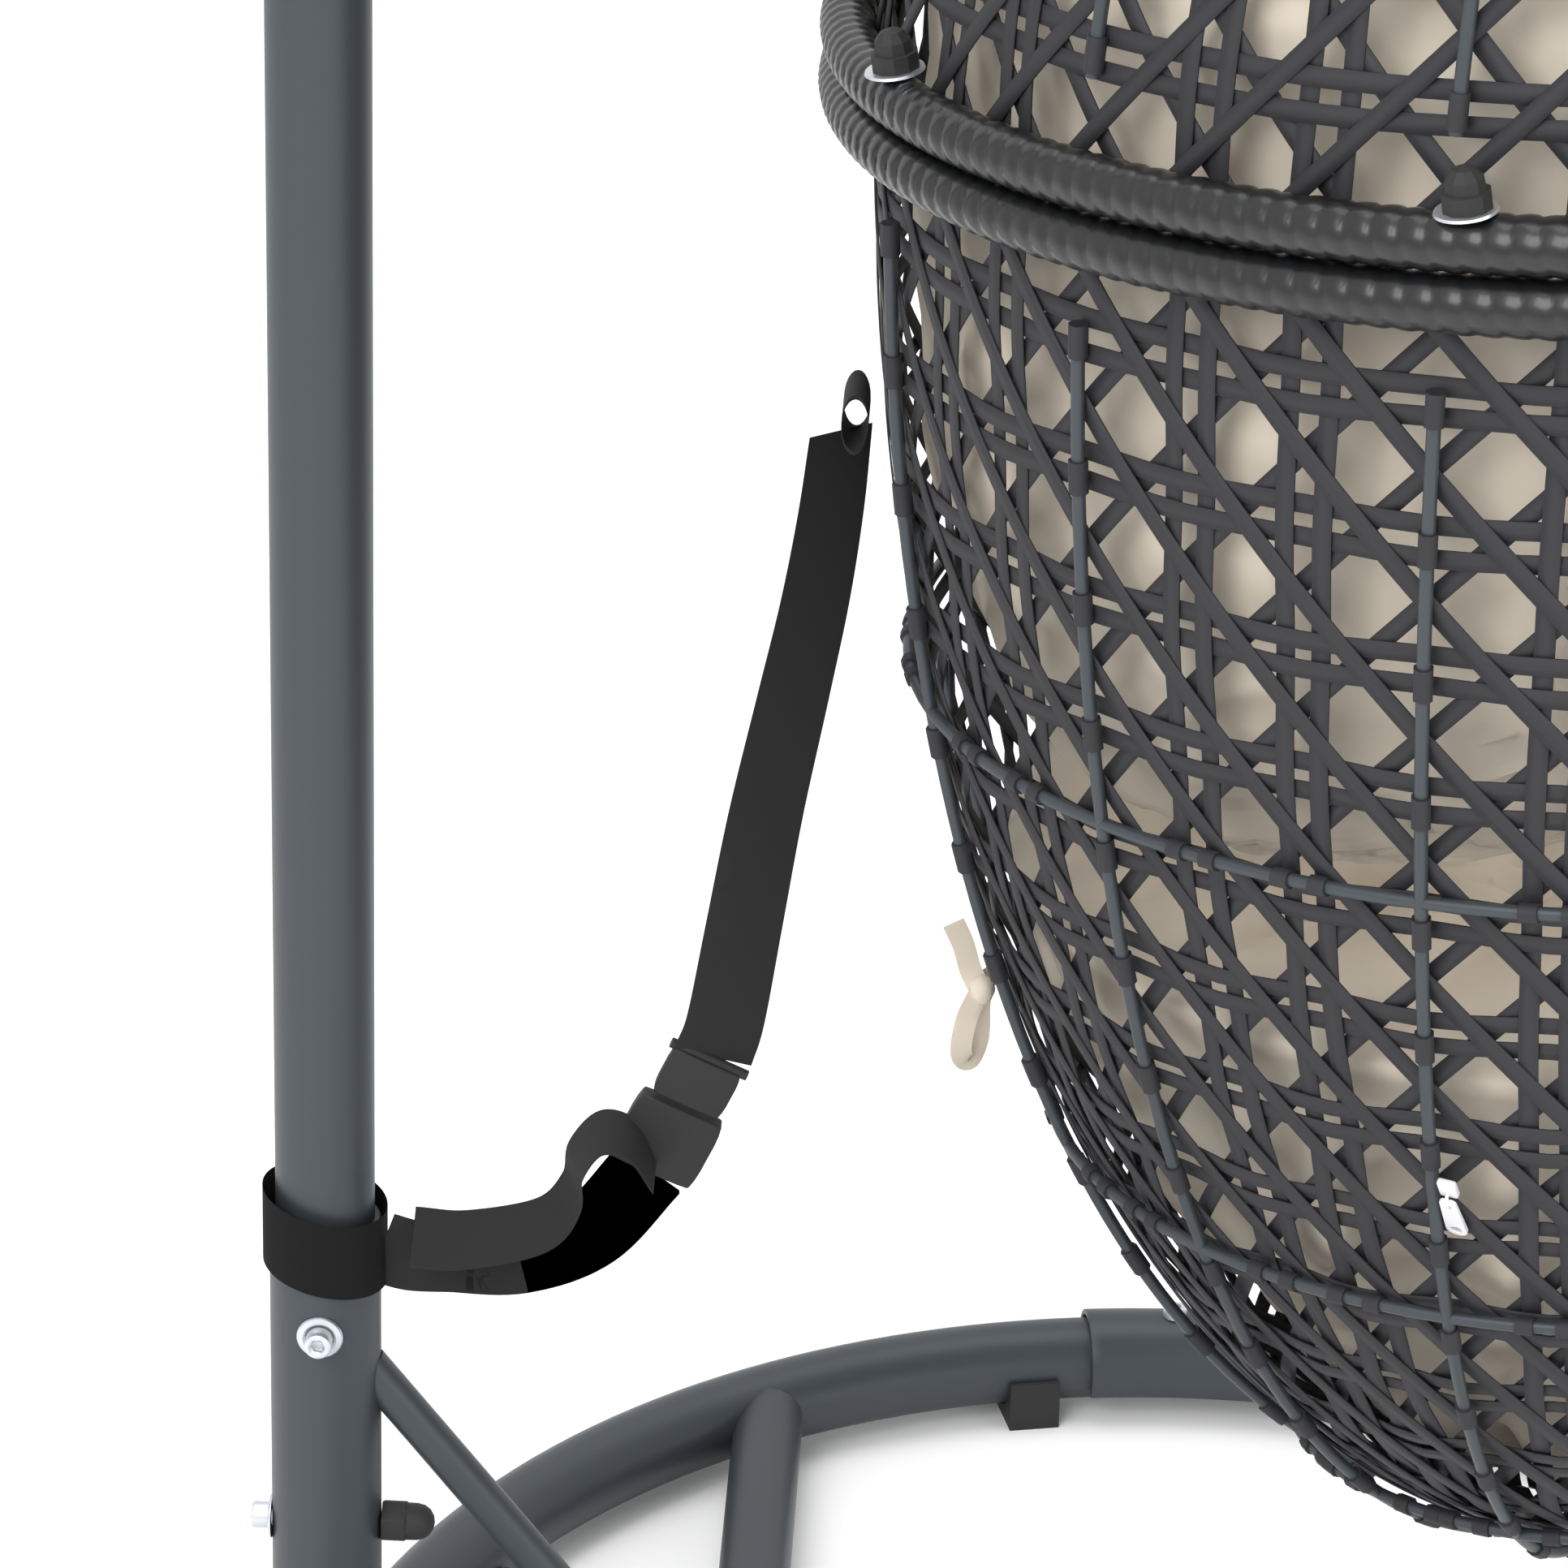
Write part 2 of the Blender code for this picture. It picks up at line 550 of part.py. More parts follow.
def hanger(crown):
    """From the arm's eye down: a shackle, a swivel, a coil spring, a snap hook and the basket's own loop."""
    middle = at(HANG_FORWARD, 0, HOOK_Z - SHACKLE_LENGTH / 2)
    link("hanger_shackle", middle, 0.0150, SHACKLE_LENGTH / 2 + SHACKLE_R + 2 * GAP, SHACKLE_R, "front", "zinc", swing)
    bearing = HOOK_Z - SHACKLE_LENGTH
    rod = 0.0036
    drop = 0.0150
    link("swivel_eye", at(HANG_FORWARD, 0, bearing - drop + rod + GAP), 0.0130, drop, rod, "side", "zinc", swing)
    top = bearing - 2 * drop - GAP
    barrel = turned_mesh([(0, 0), (0.0150, 0), (0.0180, -0.004), (0.0180, -0.017), (0.0110, -0.022), (0, -0.022)], 14)
    solid("swivel_barrel", barrel, Matrix.Translation(at(HANG_FORWARD, 0, top)), "zinc", swing)
    eye_middle = crown + 0.0230
    eye_half = 0.0180
    hook_half = 0.0390
    hook_low = eye_middle + eye_half - EYE_R - rod - 4 * GAP
    link("snap_hook", at(HANG_FORWARD, 0, hook_low + hook_half), 0.0115, hook_half, rod, "side", "zinc", basket, 16)
    link("basket_eye", at(HANG_FORWARD, 0, eye_middle), 0.0150, eye_half, EYE_R, "front", "powder_coat", basket)
    coil_spring(top - 0.022 - GAP, hook_low + 2 * hook_half + rod + GAP)


def coil_spring(top, foot):
    """An open coil with a straight tail at each end, on the hanging axis."""
    radius, wire, neck = 0.0190, 0.0026, 0.018
    turns, steps = 7, 8
    line = [at(HANG_FORWARD, 0, top), at(HANG_FORWARD, 0, top - neck / 2)]
    for k in range(turns * steps + 1):
        angle = 2 * math.pi * k / steps
        height = top - neck + (foot + neck - top + neck) * k / (turns * steps)
        line.append(at(HANG_FORWARD + radius * math.sin(angle), radius * math.cos(angle), height))
    line += [at(HANG_FORWARD, 0, foot + neck / 2), at(HANG_FORWARD, 0, foot)]
    tube("suspension_spring", line, wire, "zinc", resolution=1, parent=basket)


def small_pieces():
    """The cushion's zip slider and pull, the tape bow, and the capped nuts that hold the two rims together."""
    turn = math.radians(-112)
    level = -0.560
    out = WIRE_R * 2 + 3 * GAP
    spot = egg(around(turn, level), out)
    outward = (egg(around(turn, level), out + 0.01) - spot).normalized()
    down = outward.cross(Vector((0, 0, 1))).cross(outward).normalized() * -1
    frame_turn = Matrix((outward, down.cross(outward), down)).transposed().to_4x4()
    slider = block_mesh((0.0045, 0.0085, 0.0120), 0.0012)
    solid("zip_slider", slider, Matrix.Translation(spot + outward * 0.0030) @ frame_turn, "white_enamel", basket)
    pull = block_mesh((0.0018, 0.0090, 0.0320), 0.0006)
    hinge = spot + outward * 0.0068 + down * 0.0065
    solid("zip_pull", pull, Matrix.Translation(hinge + down * 0.0150) @ frame_turn, "white_enamel", basket)
    spot_back = egg(around(math.pi, -0.60), 0.0160)
    slope = (egg(around(math.pi, -0.63), 0.0160) - egg(around(math.pi, -0.57), 0.0160)).normalized()
    bow = block_mesh((0.0150, 0.0120, 0.0700), 0.0040)
    solid("tape_bow", bow, along(slope, spot_back), "cushion_cloth", basket)
    nut = turned_mesh([(0, 0.0190), (0.0048, 0.0180), (0.0080, 0.0140), (0.0086, 0.0090), (0.0104, 0.0086),
                       (0.0104, 0.0), (0, 0.0)], 10)
    for side, sign in (("right", 1), ("left", -1)):
        for label, degrees in (("side", 112), ("back", 160)):
            foot = egg(around(sign * math.radians(degrees), 0), RIM_R + 0.0005)
            foot += Vector((0, 0, 2 * RIM_R + 2 * GAP + 0.0004))
            solid(f"rim_nut_{label}_{side}", nut.copy(), along((0, TILT, 1), foot), "black_plastic", basket)
    return hinge, outward, down


def soft_solid(name, form):
    """A cushion from a closed bmesh, with its faces turned outwards."""
    if form.calc_volume(signed=True) < 0:
        bmesh.ops.reverse_faces(form, faces=form.faces)
    mesh = bpy.data.meshes.new(name)
    form.to_mesh(mesh)
    form.free()
    smooth(place(bpy.data.objects.new(name, mesh), "cushion_cloth", basket))


def lining(name, turns, rises, near, thick, power, steps=(28, 12)):
    """A pad that lies against the inside of the basket: a sphere whose faces become the pad's two sides."""
    form = bmesh.new()
    bmesh.ops.create_uvsphere(form, u_segments=steps[0], v_segments=steps[1], radius=1)
    for vert in form.verts:
        x, y, z = vert.co
        across_it = math.copysign(abs(x) ** power, x)
        up_it = math.copysign(abs(z) ** power, z)
        turn = math.radians((turns[0] + turns[1]) / 2 + across_it * (turns[1] - turns[0]) / 2)
        rise = math.radians((rises[0] + rises[1]) / 2 + up_it * (rises[1] - rises[0]) / 2)
        vert.co = egg(around(turn, math.sin(rise)), -near - thick * (1 - y) / 2)
    soft_solid(name, form)


def cushions():
    """Plain closed solids for the seat cushion, the back cushion and the head pillow, against the wall."""
    form = bmesh.new()
    bmesh.ops.create_uvsphere(form, u_segments=20, v_segments=12, radius=1)
    for vert in form.verts:
        x, y, z = vert.co
        # the sphere's lower half lies on the basket's wall, and its upper half is the hollow seat
        share = math.asin(min(1.0, abs(z))) / (math.pi / 2)
        rise = math.radians(SEAT_EDGE + (90 - SEAT_EDGE) * share)
        depth = 0.0 if z <= 0.0001 else SEAT_THICK * math.sin(share * math.pi / 2) ** 0.6
        vert.co = egg(around(math.atan2(x, y), -math.sin(rise)), -CUSHION_NEAR - depth)
    soft_solid("seat_cushion", form)
    lining("back_cushion", (84, 276), (-30, 21), CUSHION_NEAR, 0.085, 0.62)
    lining("head_pillow", (152, 208), (27, 50), CUSHION_NEAR, 0.080, 0.80, (16, 8))


# ---- build -----------------------------------------------------------------------------------
for old in list(bpy.data.objects):
    bpy.data.objects.remove(old)
chair = bpy.data.collections.new("hanging_egg_chair")
bpy.context.scene.collection.children.link(chair)
swing = bpy.data.objects.new("swing_axis", None)
swing.location = at(HANG_FORWARD, 0, HOOK_Z - SHACKLE_LENGTH)
chair.objects.link(swing)
basket = bpy.data.objects.new("basket_axis", None)
basket.location = at(HANG_FORWARD, 0, HOOK_Z)
chair.objects.link(basket)
bpy.context.view_layer.update()

base_ring()
saddle("ring_joint_left", -math.pi / 2)
saddle("ring_joint_right", math.pi / 2)
for side, sign in (("right", 1), ("left", -1)):
    for label, degrees in (("back", 26), ("middle", 77), ("front", 150)):
        base_foot(f"foot_{label}_{side}", sign * math.radians(degrees))
post(cross_tubes())
arm()
arm_eye()
cross_bolt("joint_bolt", 0.2995, -1, LOWER_POST_R, False)
cross_bolt("foot_bolt", 0.1800, 1, LOWER_POST_R, True)
strap()
shell("bowl_weave", [((0, 0, -0.032), (0, 0, 1))], SHELL_WALL)
shell("hood_weave", [((0, 0, 0.052), (0, 0, -1)),
                     ((0, OPEN_OFFSET - 0.03, 0), (0, 1, -OPEN_LEAN))], SHELL_WALL)
arch = basket_rims()
basket_frames()
hanger(max(p.z for p in arch) + RIM_R)
small_pieces()
cushions()
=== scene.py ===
"""Finishes the hanging egg chair: tubes, woven strips, wound rims, cushions, webbing and a studio."""

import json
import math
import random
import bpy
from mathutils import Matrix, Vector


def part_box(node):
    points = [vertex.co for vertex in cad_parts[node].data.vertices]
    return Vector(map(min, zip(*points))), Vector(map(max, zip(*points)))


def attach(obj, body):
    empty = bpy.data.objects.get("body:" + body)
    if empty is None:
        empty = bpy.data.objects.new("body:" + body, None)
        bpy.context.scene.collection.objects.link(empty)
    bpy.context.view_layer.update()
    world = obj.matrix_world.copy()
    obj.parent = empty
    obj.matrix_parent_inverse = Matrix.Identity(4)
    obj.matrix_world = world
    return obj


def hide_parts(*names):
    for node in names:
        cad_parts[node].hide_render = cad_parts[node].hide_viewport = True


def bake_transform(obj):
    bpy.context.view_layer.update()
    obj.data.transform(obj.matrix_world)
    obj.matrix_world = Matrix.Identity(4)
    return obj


bl_info = {
    "name": "Hanging Egg Chair Finish",
    "version": (1, 0, 0),
    "blender": (4, 5, 0),
    "location": "3D View > Sidebar > Egg Chair",
    "description": "Builds the visible pieces of a hanging egg chair around its mechanical frame",
    "category": "Object",
}

import bmesh
import bpy
import numpy as np
from bpy.props import FloatProperty, FloatVectorProperty, PointerProperty
from mathutils import Matrix, Vector, noise

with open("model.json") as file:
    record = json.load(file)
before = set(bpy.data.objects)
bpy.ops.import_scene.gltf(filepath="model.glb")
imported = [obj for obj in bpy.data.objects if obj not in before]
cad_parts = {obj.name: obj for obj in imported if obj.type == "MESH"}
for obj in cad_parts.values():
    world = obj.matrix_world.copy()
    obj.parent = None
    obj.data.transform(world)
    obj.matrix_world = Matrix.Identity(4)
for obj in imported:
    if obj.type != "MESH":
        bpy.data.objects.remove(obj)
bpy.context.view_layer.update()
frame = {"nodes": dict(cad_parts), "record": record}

# ---- places read from the frame ---------------------------------------------------------------
UP = Vector((0, 0, 1))


def middle_of(node):
    low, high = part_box(node)
    return (Vector(low) + Vector(high)) / 2


POST_Y = middle_of("upper_post").y
HANG_Y = middle_of("swivel_barrel").y
HANG_FORWARD = POST_Y - HANG_Y

# ---- the basket's form: an egg, taller above its waist than a ball and drawn in at the back ----
BASKET_A = 0.392
BASKET_B = 0.385
BASKET_LOW = 0.790
BASKET_HIGH = 0.500
WAIST_Z = 1.030
TILT = 0.170
BACK_TAPER = 0.16
OPEN_OFFSET = -0.125
OPEN_LEAN = 0.150
BAYS = 14               # ribs round the bowl
COLUMNS = BAYS * 3      # a rib, then two pairs of upright strips, in each bay
FIRST_TURN = math.radians(15)
RING_R = 0.445
RING_TUBE = 0.0225
RING_Z = 0.0280
CROSS_FORWARD = 0.205
LOWER_POST_R = 0.0270


def at(forward, side, height):
    """A point forward of the post's axis, to its right, and above the floor."""
    return Vector((side, POST_Y - forward, height))


def egg(direction):
    """Carries a point near the unit sphere (side, forward, up) to the basket's wall."""
    side, forward, up = direction
    height = BASKET_HIGH if up > 0 else BASKET_LOW
    taper = 1 - BACK_TAPER * max(0.0, -forward) ** 1.5
    return at(HANG_FORWARD + BASKET_A * forward, BASKET_B * side * taper,
              WAIST_Z + height * up + TILT * BASKET_A * forward)


def around(turn, up, out=0.0):
    """A point of the sphere at a turn (0 at the front) and a height, moved out by a distance in metres."""
    level = math.sqrt(max(0.0, 1 - up * up))
    swell = 1 + out / BASKET_A
    return Vector((level * math.sin(turn), level * math.cos(turn), up)) * swell


def ring_point(turn, radius=RING_R, height=RING_Z):
    return at(RING_R - radius * math.cos(turn), radius * math.sin(turn), height)


def arc(count, first, last):
    return [first + (last - first) * i / (count - 1) for i in range(count)]


def through(points, per_span):
    """A smooth line through given points."""
    line = []
    for i in range(len(points) - 1):
        before = points[i - 1] if i else points[0] * 2 - points[1]
        after = points[i + 2] if i + 2 < len(points) else points[-1] * 2 - points[-2]
        a, b = points[i], points[i + 1]
        for k in range(per_span):
            t = k / per_span
            line.append(0.5 * (2 * a + (b - before) * t + (2 * before - 5 * a + 4 * b - after) * t * t
                               + (3 * a - before - 3 * b + after) * t ** 3))
    return line + [points[-1]]


class Meridian:
    """Turns a distance along the wall from the waist into a height on the unit sphere."""

    def __init__(self, height):
        self.rise = np.linspace(0, math.pi / 2, 400)
        step = np.hypot(BASKET_A * np.sin(self.rise), height * np.cos(self.rise))
        self.reach = np.concatenate([[0], np.cumsum((step[1:] + step[:-1]) / 2 * np.diff(self.rise))])

    def up(self, reach):
        return math.sin(float(np.interp(reach, self.reach, self.rise)))


BOWL = Meridian(BASKET_LOW)
HOOD = Meridian(BASKET_HIGH)


CUSHION_NEAR = 0.0160    # from the basket's wall to the cushions


# ---- shader node groups -----------------------------------------------------------------------
def new_group(name, inputs, outputs):
    group = bpy.data.node_groups.new(name, "ShaderNodeTree")
    for label, value in inputs:
        socket = group.interface.new_socket(label, in_out="INPUT", socket_type="NodeSocketFloat")
        socket.default_value = value
    for label, kind in outputs:
        group.interface.new_socket(label, in_out="OUTPUT", socket_type=kind)
    return group, group.nodes.new("NodeGroupInput"), group.nodes.new("NodeGroupOutput")


def math_node(group, operation, first, second):
    node = group.nodes.new("ShaderNodeMath")
    node.operation = operation
    for socket, value in zip(node.inputs, (first, second)):
        if isinstance(value, (int, float)):
            socket.default_value = value
        else:
            group.links.new(value, socket)
    return node.outputs[0]


def grain_group():
    """Cloudy tone variation and a fine grain, from object coordinates."""
    group, given, result = new_group(
        "Grain", [("Cloud Scale", 6.0), ("Grain Scale", 900.0), ("Contrast", 0.15)],
        [("Tone", "NodeSocketFloat"), ("Grain", "NodeSocketFloat")])
    place = group.nodes.new("ShaderNodeTexCoord")
    cloud = group.nodes.new("ShaderNodeTexNoise")
    cloud.inputs["Detail"].default_value = 3
    fine = group.nodes.new("ShaderNodeTexNoise")
    fine.inputs["Detail"].default_value = 2
    for texture, label in ((cloud, "Cloud Scale"), (fine, "Grain Scale")):
        group.links.new(place.outputs["Object"], texture.inputs["Vector"])
        group.links.new(given.outputs[label], texture.inputs["Scale"])
    swing = math_node(group, "MULTIPLY", math_node(group, "SUBTRACT", cloud.outputs["Fac"], 0.5),
                      given.outputs["Contrast"])
    group.links.new(math_node(group, "ADD", swing, 1.0), result.inputs["Tone"])
    group.links.new(fine.outputs["Fac"], result.inputs["Grain"])
    return group


def thread_group():
    """Two crossing sets of threads on a surface's own map, measured in metres."""
    group, given, result = new_group(
        "Threads", [("Warp Pitch", 0.0012), ("Weft Pitch", 0.0016), ("Weft Share", 0.5)],
        [("Height", "NodeSocketFloat")])
    place = group.nodes.new("ShaderNodeUVMap")
    split = group.nodes.new("ShaderNodeSeparateXYZ")
    group.links.new(place.outputs["UV"], split.inputs[0])
    heights = []
    for axis, label in (("X", "Warp Pitch"), ("Y", "Weft Pitch")):
        turns = math_node(group, "DIVIDE", split.outputs[axis], given.outputs[label])
        wave = math_node(group, "SINE", math_node(group, "MULTIPLY", turns, 2 * math.pi), 0)
        heights.append(math_node(group, "ADD", math_node(group, "MULTIPLY", wave, 0.5), 0.5))
    weft = math_node(group, "MULTIPLY", heights[1], given.outputs["Weft Share"])
    group.links.new(math_node(group, "ADD", heights[0], weft), result.inputs["Height"])
    return group


def finish(slot, colour, roughness, metallic=0.0, tone=0.15, cloud=6.0, grain=900.0, bump=0.1,
           depth=0.0002, threads=None, coat=0.0, sheen=0.0, specular=0.5):
    """One finish: a tinted Principled shader whose colour, roughness and bump vary over the surface."""
    material = bpy.data.materials.new(slot)
    material.use_nodes = True
    tree = material.node_tree
    shader = tree.nodes["Principled BSDF"]
    shader.inputs["Metallic"].default_value = metallic
    shader.inputs["Coat Weight"].default_value = coat
    shader.inputs["Sheen Weight"].default_value = sheen
    shader.inputs["Specular IOR Level"].default_value = specular
    marks = tree.nodes.new("ShaderNodeGroup")
    marks.node_tree = bpy.data.node_groups.get("Grain") or grain_group()
    marks.inputs["Cloud Scale"].default_value = cloud
    marks.inputs["Grain Scale"].default_value = grain
    marks.inputs["Contrast"].default_value = tone
    tint = tree.nodes.new("ShaderNodeVectorMath")
    tint.operation = "SCALE"
    tint.inputs[0].default_value = colour[:3]
    tree.links.new(marks.outputs["Tone"], tint.inputs["Scale"])
    tree.links.new(tint.outputs[0], shader.inputs["Base Color"])
    rough = tree.nodes.new("ShaderNodeMapRange")
    rough.inputs["To Min"].default_value = roughness * 0.82
    rough.inputs["To Max"].default_value = roughness * 1.18
    tree.links.new(marks.outputs["Grain"], rough.inputs["Value"])
    tree.links.new(rough.outputs[0], shader.inputs["Roughness"])
    relief = tree.nodes.new("ShaderNodeBump")
    relief.inputs["Strength"].default_value = bump
    relief.inputs["Distance"].default_value = depth
    height = marks.outputs["Grain"]
    if threads:
        cloth = tree.nodes.new("ShaderNodeGroup")
        cloth.node_tree = bpy.data.node_groups.get("Threads") or thread_group()
        for label, value in zip(("Warp Pitch", "Weft Pitch", "Weft Share"), threads):
            cloth.inputs[label].default_value = value
        height = cloth.outputs["Height"]
    tree.links.new(height, relief.inputs["Height"])
    tree.links.new(relief.outputs["Normal"], shader.inputs["Normal"])
    return material


# ---- piece helpers ----------------------------------------------------------------------------
def settle(obj, slot, body, *nodes, finish_name=None):
    """Gives a piece its finish and its body, and hides the plain solids that it stands for."""
    if not obj.users_collection:
        bpy.context.scene.collection.objects.link(obj)
    obj.data.materials.clear()
    obj.data.materials.append(bpy.data.materials[finish_name or slot])
    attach(obj, body)
    if nodes:
        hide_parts(*nodes)
    return obj


def to_mesh(obj):
    """Swaps a curve for the mesh that it shows, welded, with its normals turned outwards."""
    bpy.context.scene.collection.objects.link(obj)
    bpy.context.view_layer.update()
    graph = bpy.context.evaluated_depsgraph_get()
    mesh = bpy.data.meshes.new_from_object(obj.evaluated_get(graph))
    name = obj.name
    bpy.data.objects.remove(obj)
    form = bmesh.new()
    form.from_mesh(mesh)
    bmesh.ops.remove_doubles(form, verts=form.verts, dist=0.00001)
    bmesh.ops.recalc_face_normals(form, faces=form.faces)
    form.to_mesh(mesh)
    form.free()
    return bpy.data.objects.new(name, mesh)


def smooth_mesh(name, form, angle=40):
    mesh = bpy.data.meshes.new(name)
    form.to_mesh(mesh)
    form.free()
    mesh.shade_smooth()
    mesh.set_sharp_from_angle(angle=math.radians(angle))
    return bpy.data.objects.new(name, mesh)


def rods(name, lines, radius, closed=False, resolution=5):
    """Round rods or tubes along lines of points, as one mesh object."""
    curve = bpy.data.curves.new(name, "CURVE")
    curve.dimensions = "3D"
    curve.bevel_depth = radius
    curve.bevel_resolution = resolution
    curve.use_fill_caps = not closed
    for points in lines:
        spline = curve.splines.new("POLY")
        spline.points.add(len(points) - 1)
        for target, point in zip(spline.points, points):
            target.co = (*point, 1)
        spline.use_cyclic_u = closed
    obj = to_mesh(bpy.data.objects.new(name, curve))
    obj.data.shade_smooth()
    obj.data.set_sharp_from_angle(angle=math.radians(50))
    return obj


def turned_piece(name, profile, matrix, steps=40, angle=35):
    form = bmesh.new()
    verts = [form.verts.new((r, 0, z)) for r, z in profile]
    edges = [form.edges.new(pair) for pair in zip(verts, verts[1:])]
    bmesh.ops.spin(form, geom=verts + edges, cent=(0, 0, 0), axis=(0, 0, 1), angle=2 * math.pi,
                   steps=steps, use_merge=True)
    bmesh.ops.remove_doubles(form, verts=form.verts, dist=0.00001)
    bmesh.ops.recalc_face_normals(form, faces=form.faces)
    bmesh.ops.transform(form, matrix=matrix, verts=form.verts)
    return smooth_mesh(name, form, angle)


def along(direction, origin):
    turn = UP.rotation_difference(Vector(direction)).to_matrix().to_4x4()
    return Matrix.Translation(origin) @ turn


def ribbon(name, points, widths, thickness):
    """Flat webbing or tape through points, each with its half-width vector, with a map in metres."""
    form = bmesh.new()
    layer = form.loops.layers.uv.new("UVMap")
    grid = bmesh.ops.create_grid(form, x_segments=len(points) - 1, y_segments=4, size=1)
    reach = [0.0]
    for a, b in zip(points, points[1:]):
        reach.append(reach[-1] + (b - a).length)
    width = widths[0].length * 2
    spots = {}
    for vert in grid["verts"]:
        step = round((vert.co.x + 1) / 2 * (len(points) - 1))
        spots[vert] = (reach[step], (vert.co.y + 1) / 2 * width)
        vert.co = points[step] + widths[step] * vert.co.y
    for face in form.faces:
        for loop in face.loops:
            loop[layer].uv = spots[loop.vert]
    bmesh.ops.solidify(form, geom=form.faces[:], thickness=thickness)
    bmesh.ops.recalc_face_normals(form, faces=form.faces)
    return smooth_mesh(name, form, 30)


def across(points, first_turn, last_turn, half):
    """Half-width vectors of webbing in the chair's middle plane, turned about its line."""
    result = []
    for i in range(len(points)):
        ahead = points[min(i + 1, len(points) - 1)] - points[max(i - 1, 0)]
        turn = first_turn + (last_turn - first_turn) * i / (len(points) - 1)
        flat = Vector((1, 0, 0)).cross(ahead).normalized()
        result.append((Matrix.Rotation(turn, 3, ahead.normalized()) @ flat) * half)
    return result


# ---- weave ------------------------------------------------------------------------------------
def lay_strips(form, routes, half, meridian, sign):
    """Adds flat strips to a bmesh, each along a route (turn, reach, out) as a function of 0 to 1."""
    for route, steps in routes:
        grid = bmesh.ops.create_grid(form, x_segments=steps, y_segments=1, size=1)
        line = []
        for k in range(steps + 1):
            turn, reach, out = route(k / steps)
            up = meridian.up(max(0.0, reach)) * sign
            line.append((turn, reach, out, BASKET_A * math.sqrt(max(0.004, 1 - up * up))))
        for vert in grid["verts"]:
            k = round((vert.co.x + 1) / 2 * steps)
            turn, reach, out, radius = line[k]
            before, after = line[max(k - 1, 0)], line[min(k + 1, steps)]
            run = Vector(((after[0] - before[0]) * radius, after[1] - before[1])).normalized()
            turn -= run.y * vert.co.y * half / radius
            reach += run.x * vert.co.y * half
            vert.co = around(turn, meridian.up(max(0.0, reach)) * sign, out)


def weave(name, meridian, sign, depth, row_pitch, half, inner, seed):
    """The four sets of strips on one wall, as separate meshes: uprights, rounds and both diagonals."""
    scatter = random.Random(seed)
    column = 2 * math.pi / COLUMNS
    rows = int(depth / row_pitch)
    wave = 0.0009
    spread = 0.0088

    def cell(turn, reach):
        return math.cos(math.pi * ((turn - FIRST_TURN) / column + reach / row_pitch))

    uprights, rounds, rising, falling = [], [], [], []
    for c in range(COLUMNS):
        base = FIRST_TURN + c * column
        for side in (-1, 1):
            if c % 3 == 0:
                continue
            shift = scatter.uniform(-0.0020, 0.0020)

            def upright(s, base=base, side=side, shift=shift):
                reach = s * depth
                radius = BASKET_A * math.sqrt(max(0.02, 1 - meridian.up(reach) ** 2))
                gap = min(spread, column * radius * 0.30)
                turn = base + (side * gap + shift * math.sin(s * 9 + shift * 900)) / radius
                return turn, reach, inner + wave * cell(base, reach)
            uprights.append((upright, int(depth / 0.011)))
        for family, direction in ((rising, 1), (falling, -1)):
            shift = scatter.uniform(-0.05, 0.05)

            def slanted(s, base=base, direction=direction, shift=shift):
                reach = s * depth
                turn = base + column * (0.5 + shift + direction * reach / row_pitch)
                return turn, reach, inner + direction * (wave + 0.0006)
            family.append((slanted, int(depth * 1.4 / 0.012)))
    for r in range(1, rows + 1):
        for side in (-1, 1):
            shift = scatter.uniform(-0.0015, 0.0015)

            def level(s, r=r, side=side, shift=shift):
                turn = FIRST_TURN + s * 2 * math.pi
                reach = min(depth, r * row_pitch + side * 0.0072 + shift * math.sin(turn * 5 + shift * 4000))
                return turn, reach, inner - wave * cell(turn, r * row_pitch)
            rounds.append((level, 3 * COLUMNS))
    result = []
    families = (("uprights", uprights), ("rounds", rounds), ("rising", rising), ("falling", falling))
    for label, routes in families:
        form = bmesh.new()
        lay_strips(form, routes, half, meridian, sign)
        if sign > 0:
            bmesh.ops.bisect_plane(form, geom=form.verts[:] + form.edges[:] + form.faces[:],
                                   plane_co=(0, OPEN_OFFSET, 0), plane_no=(0, 1, -OPEN_LEAN),
                                   clear_outer=True)
        for vert in form.verts:
            vert.co = egg(vert.co)
        bmesh.ops.recalc_face_normals(form, faces=form.faces)
        obj = smooth_mesh(f"{name}_{label}", form, 60)
        wall = obj.modifiers.new("strip thickness", "SOLIDIFY")
        wall.thickness = 0.0009
        wall.offset = 0
        result.append(obj)
    return result


def wound_rim(name, route, length, radius, closed, wrap, upright):
    """A rim wound with overlapping strip: a swept tube whose radius steps at every turn of the strip."""
    wraps = round(length / wrap)
    rings = wraps * 7
    sides = 16
    form = bmesh.new()
    grid = bmesh.ops.create_grid(form, x_segments=rings, y_segments=sides, size=1)
    for vert in grid["verts"]:
        s = (vert.co.x + 1) / 2
        angle = (vert.co.y + 1) * math.pi
        middle = route(s)
        ahead = (route(s + 0.0005) - route(s - 0.0005)).normalized()
        side = ahead.cross(upright).normalized()
        top = side.cross(ahead)
        phase = (s * wraps + angle / (2 * math.pi)) % 1.0
        lift = 0.0015 * (math.sin(math.pi * phase) ** 0.45 * (0.55 + 0.45 * phase) - 0.75)
        vert.co = middle + (side * math.cos(angle) + top * math.sin(angle)) * (radius + lift)
    bmesh.ops.remove_doubles(form, verts=form.verts, dist=0.00002)
    if not closed:
        bmesh.ops.holes_fill(form, edges=[e for e in form.edges if e.is_boundary], sides=0)
    bmesh.ops.recalc_face_normals(form, faces=form.faces)
    return smooth_mesh(name, form, 50)


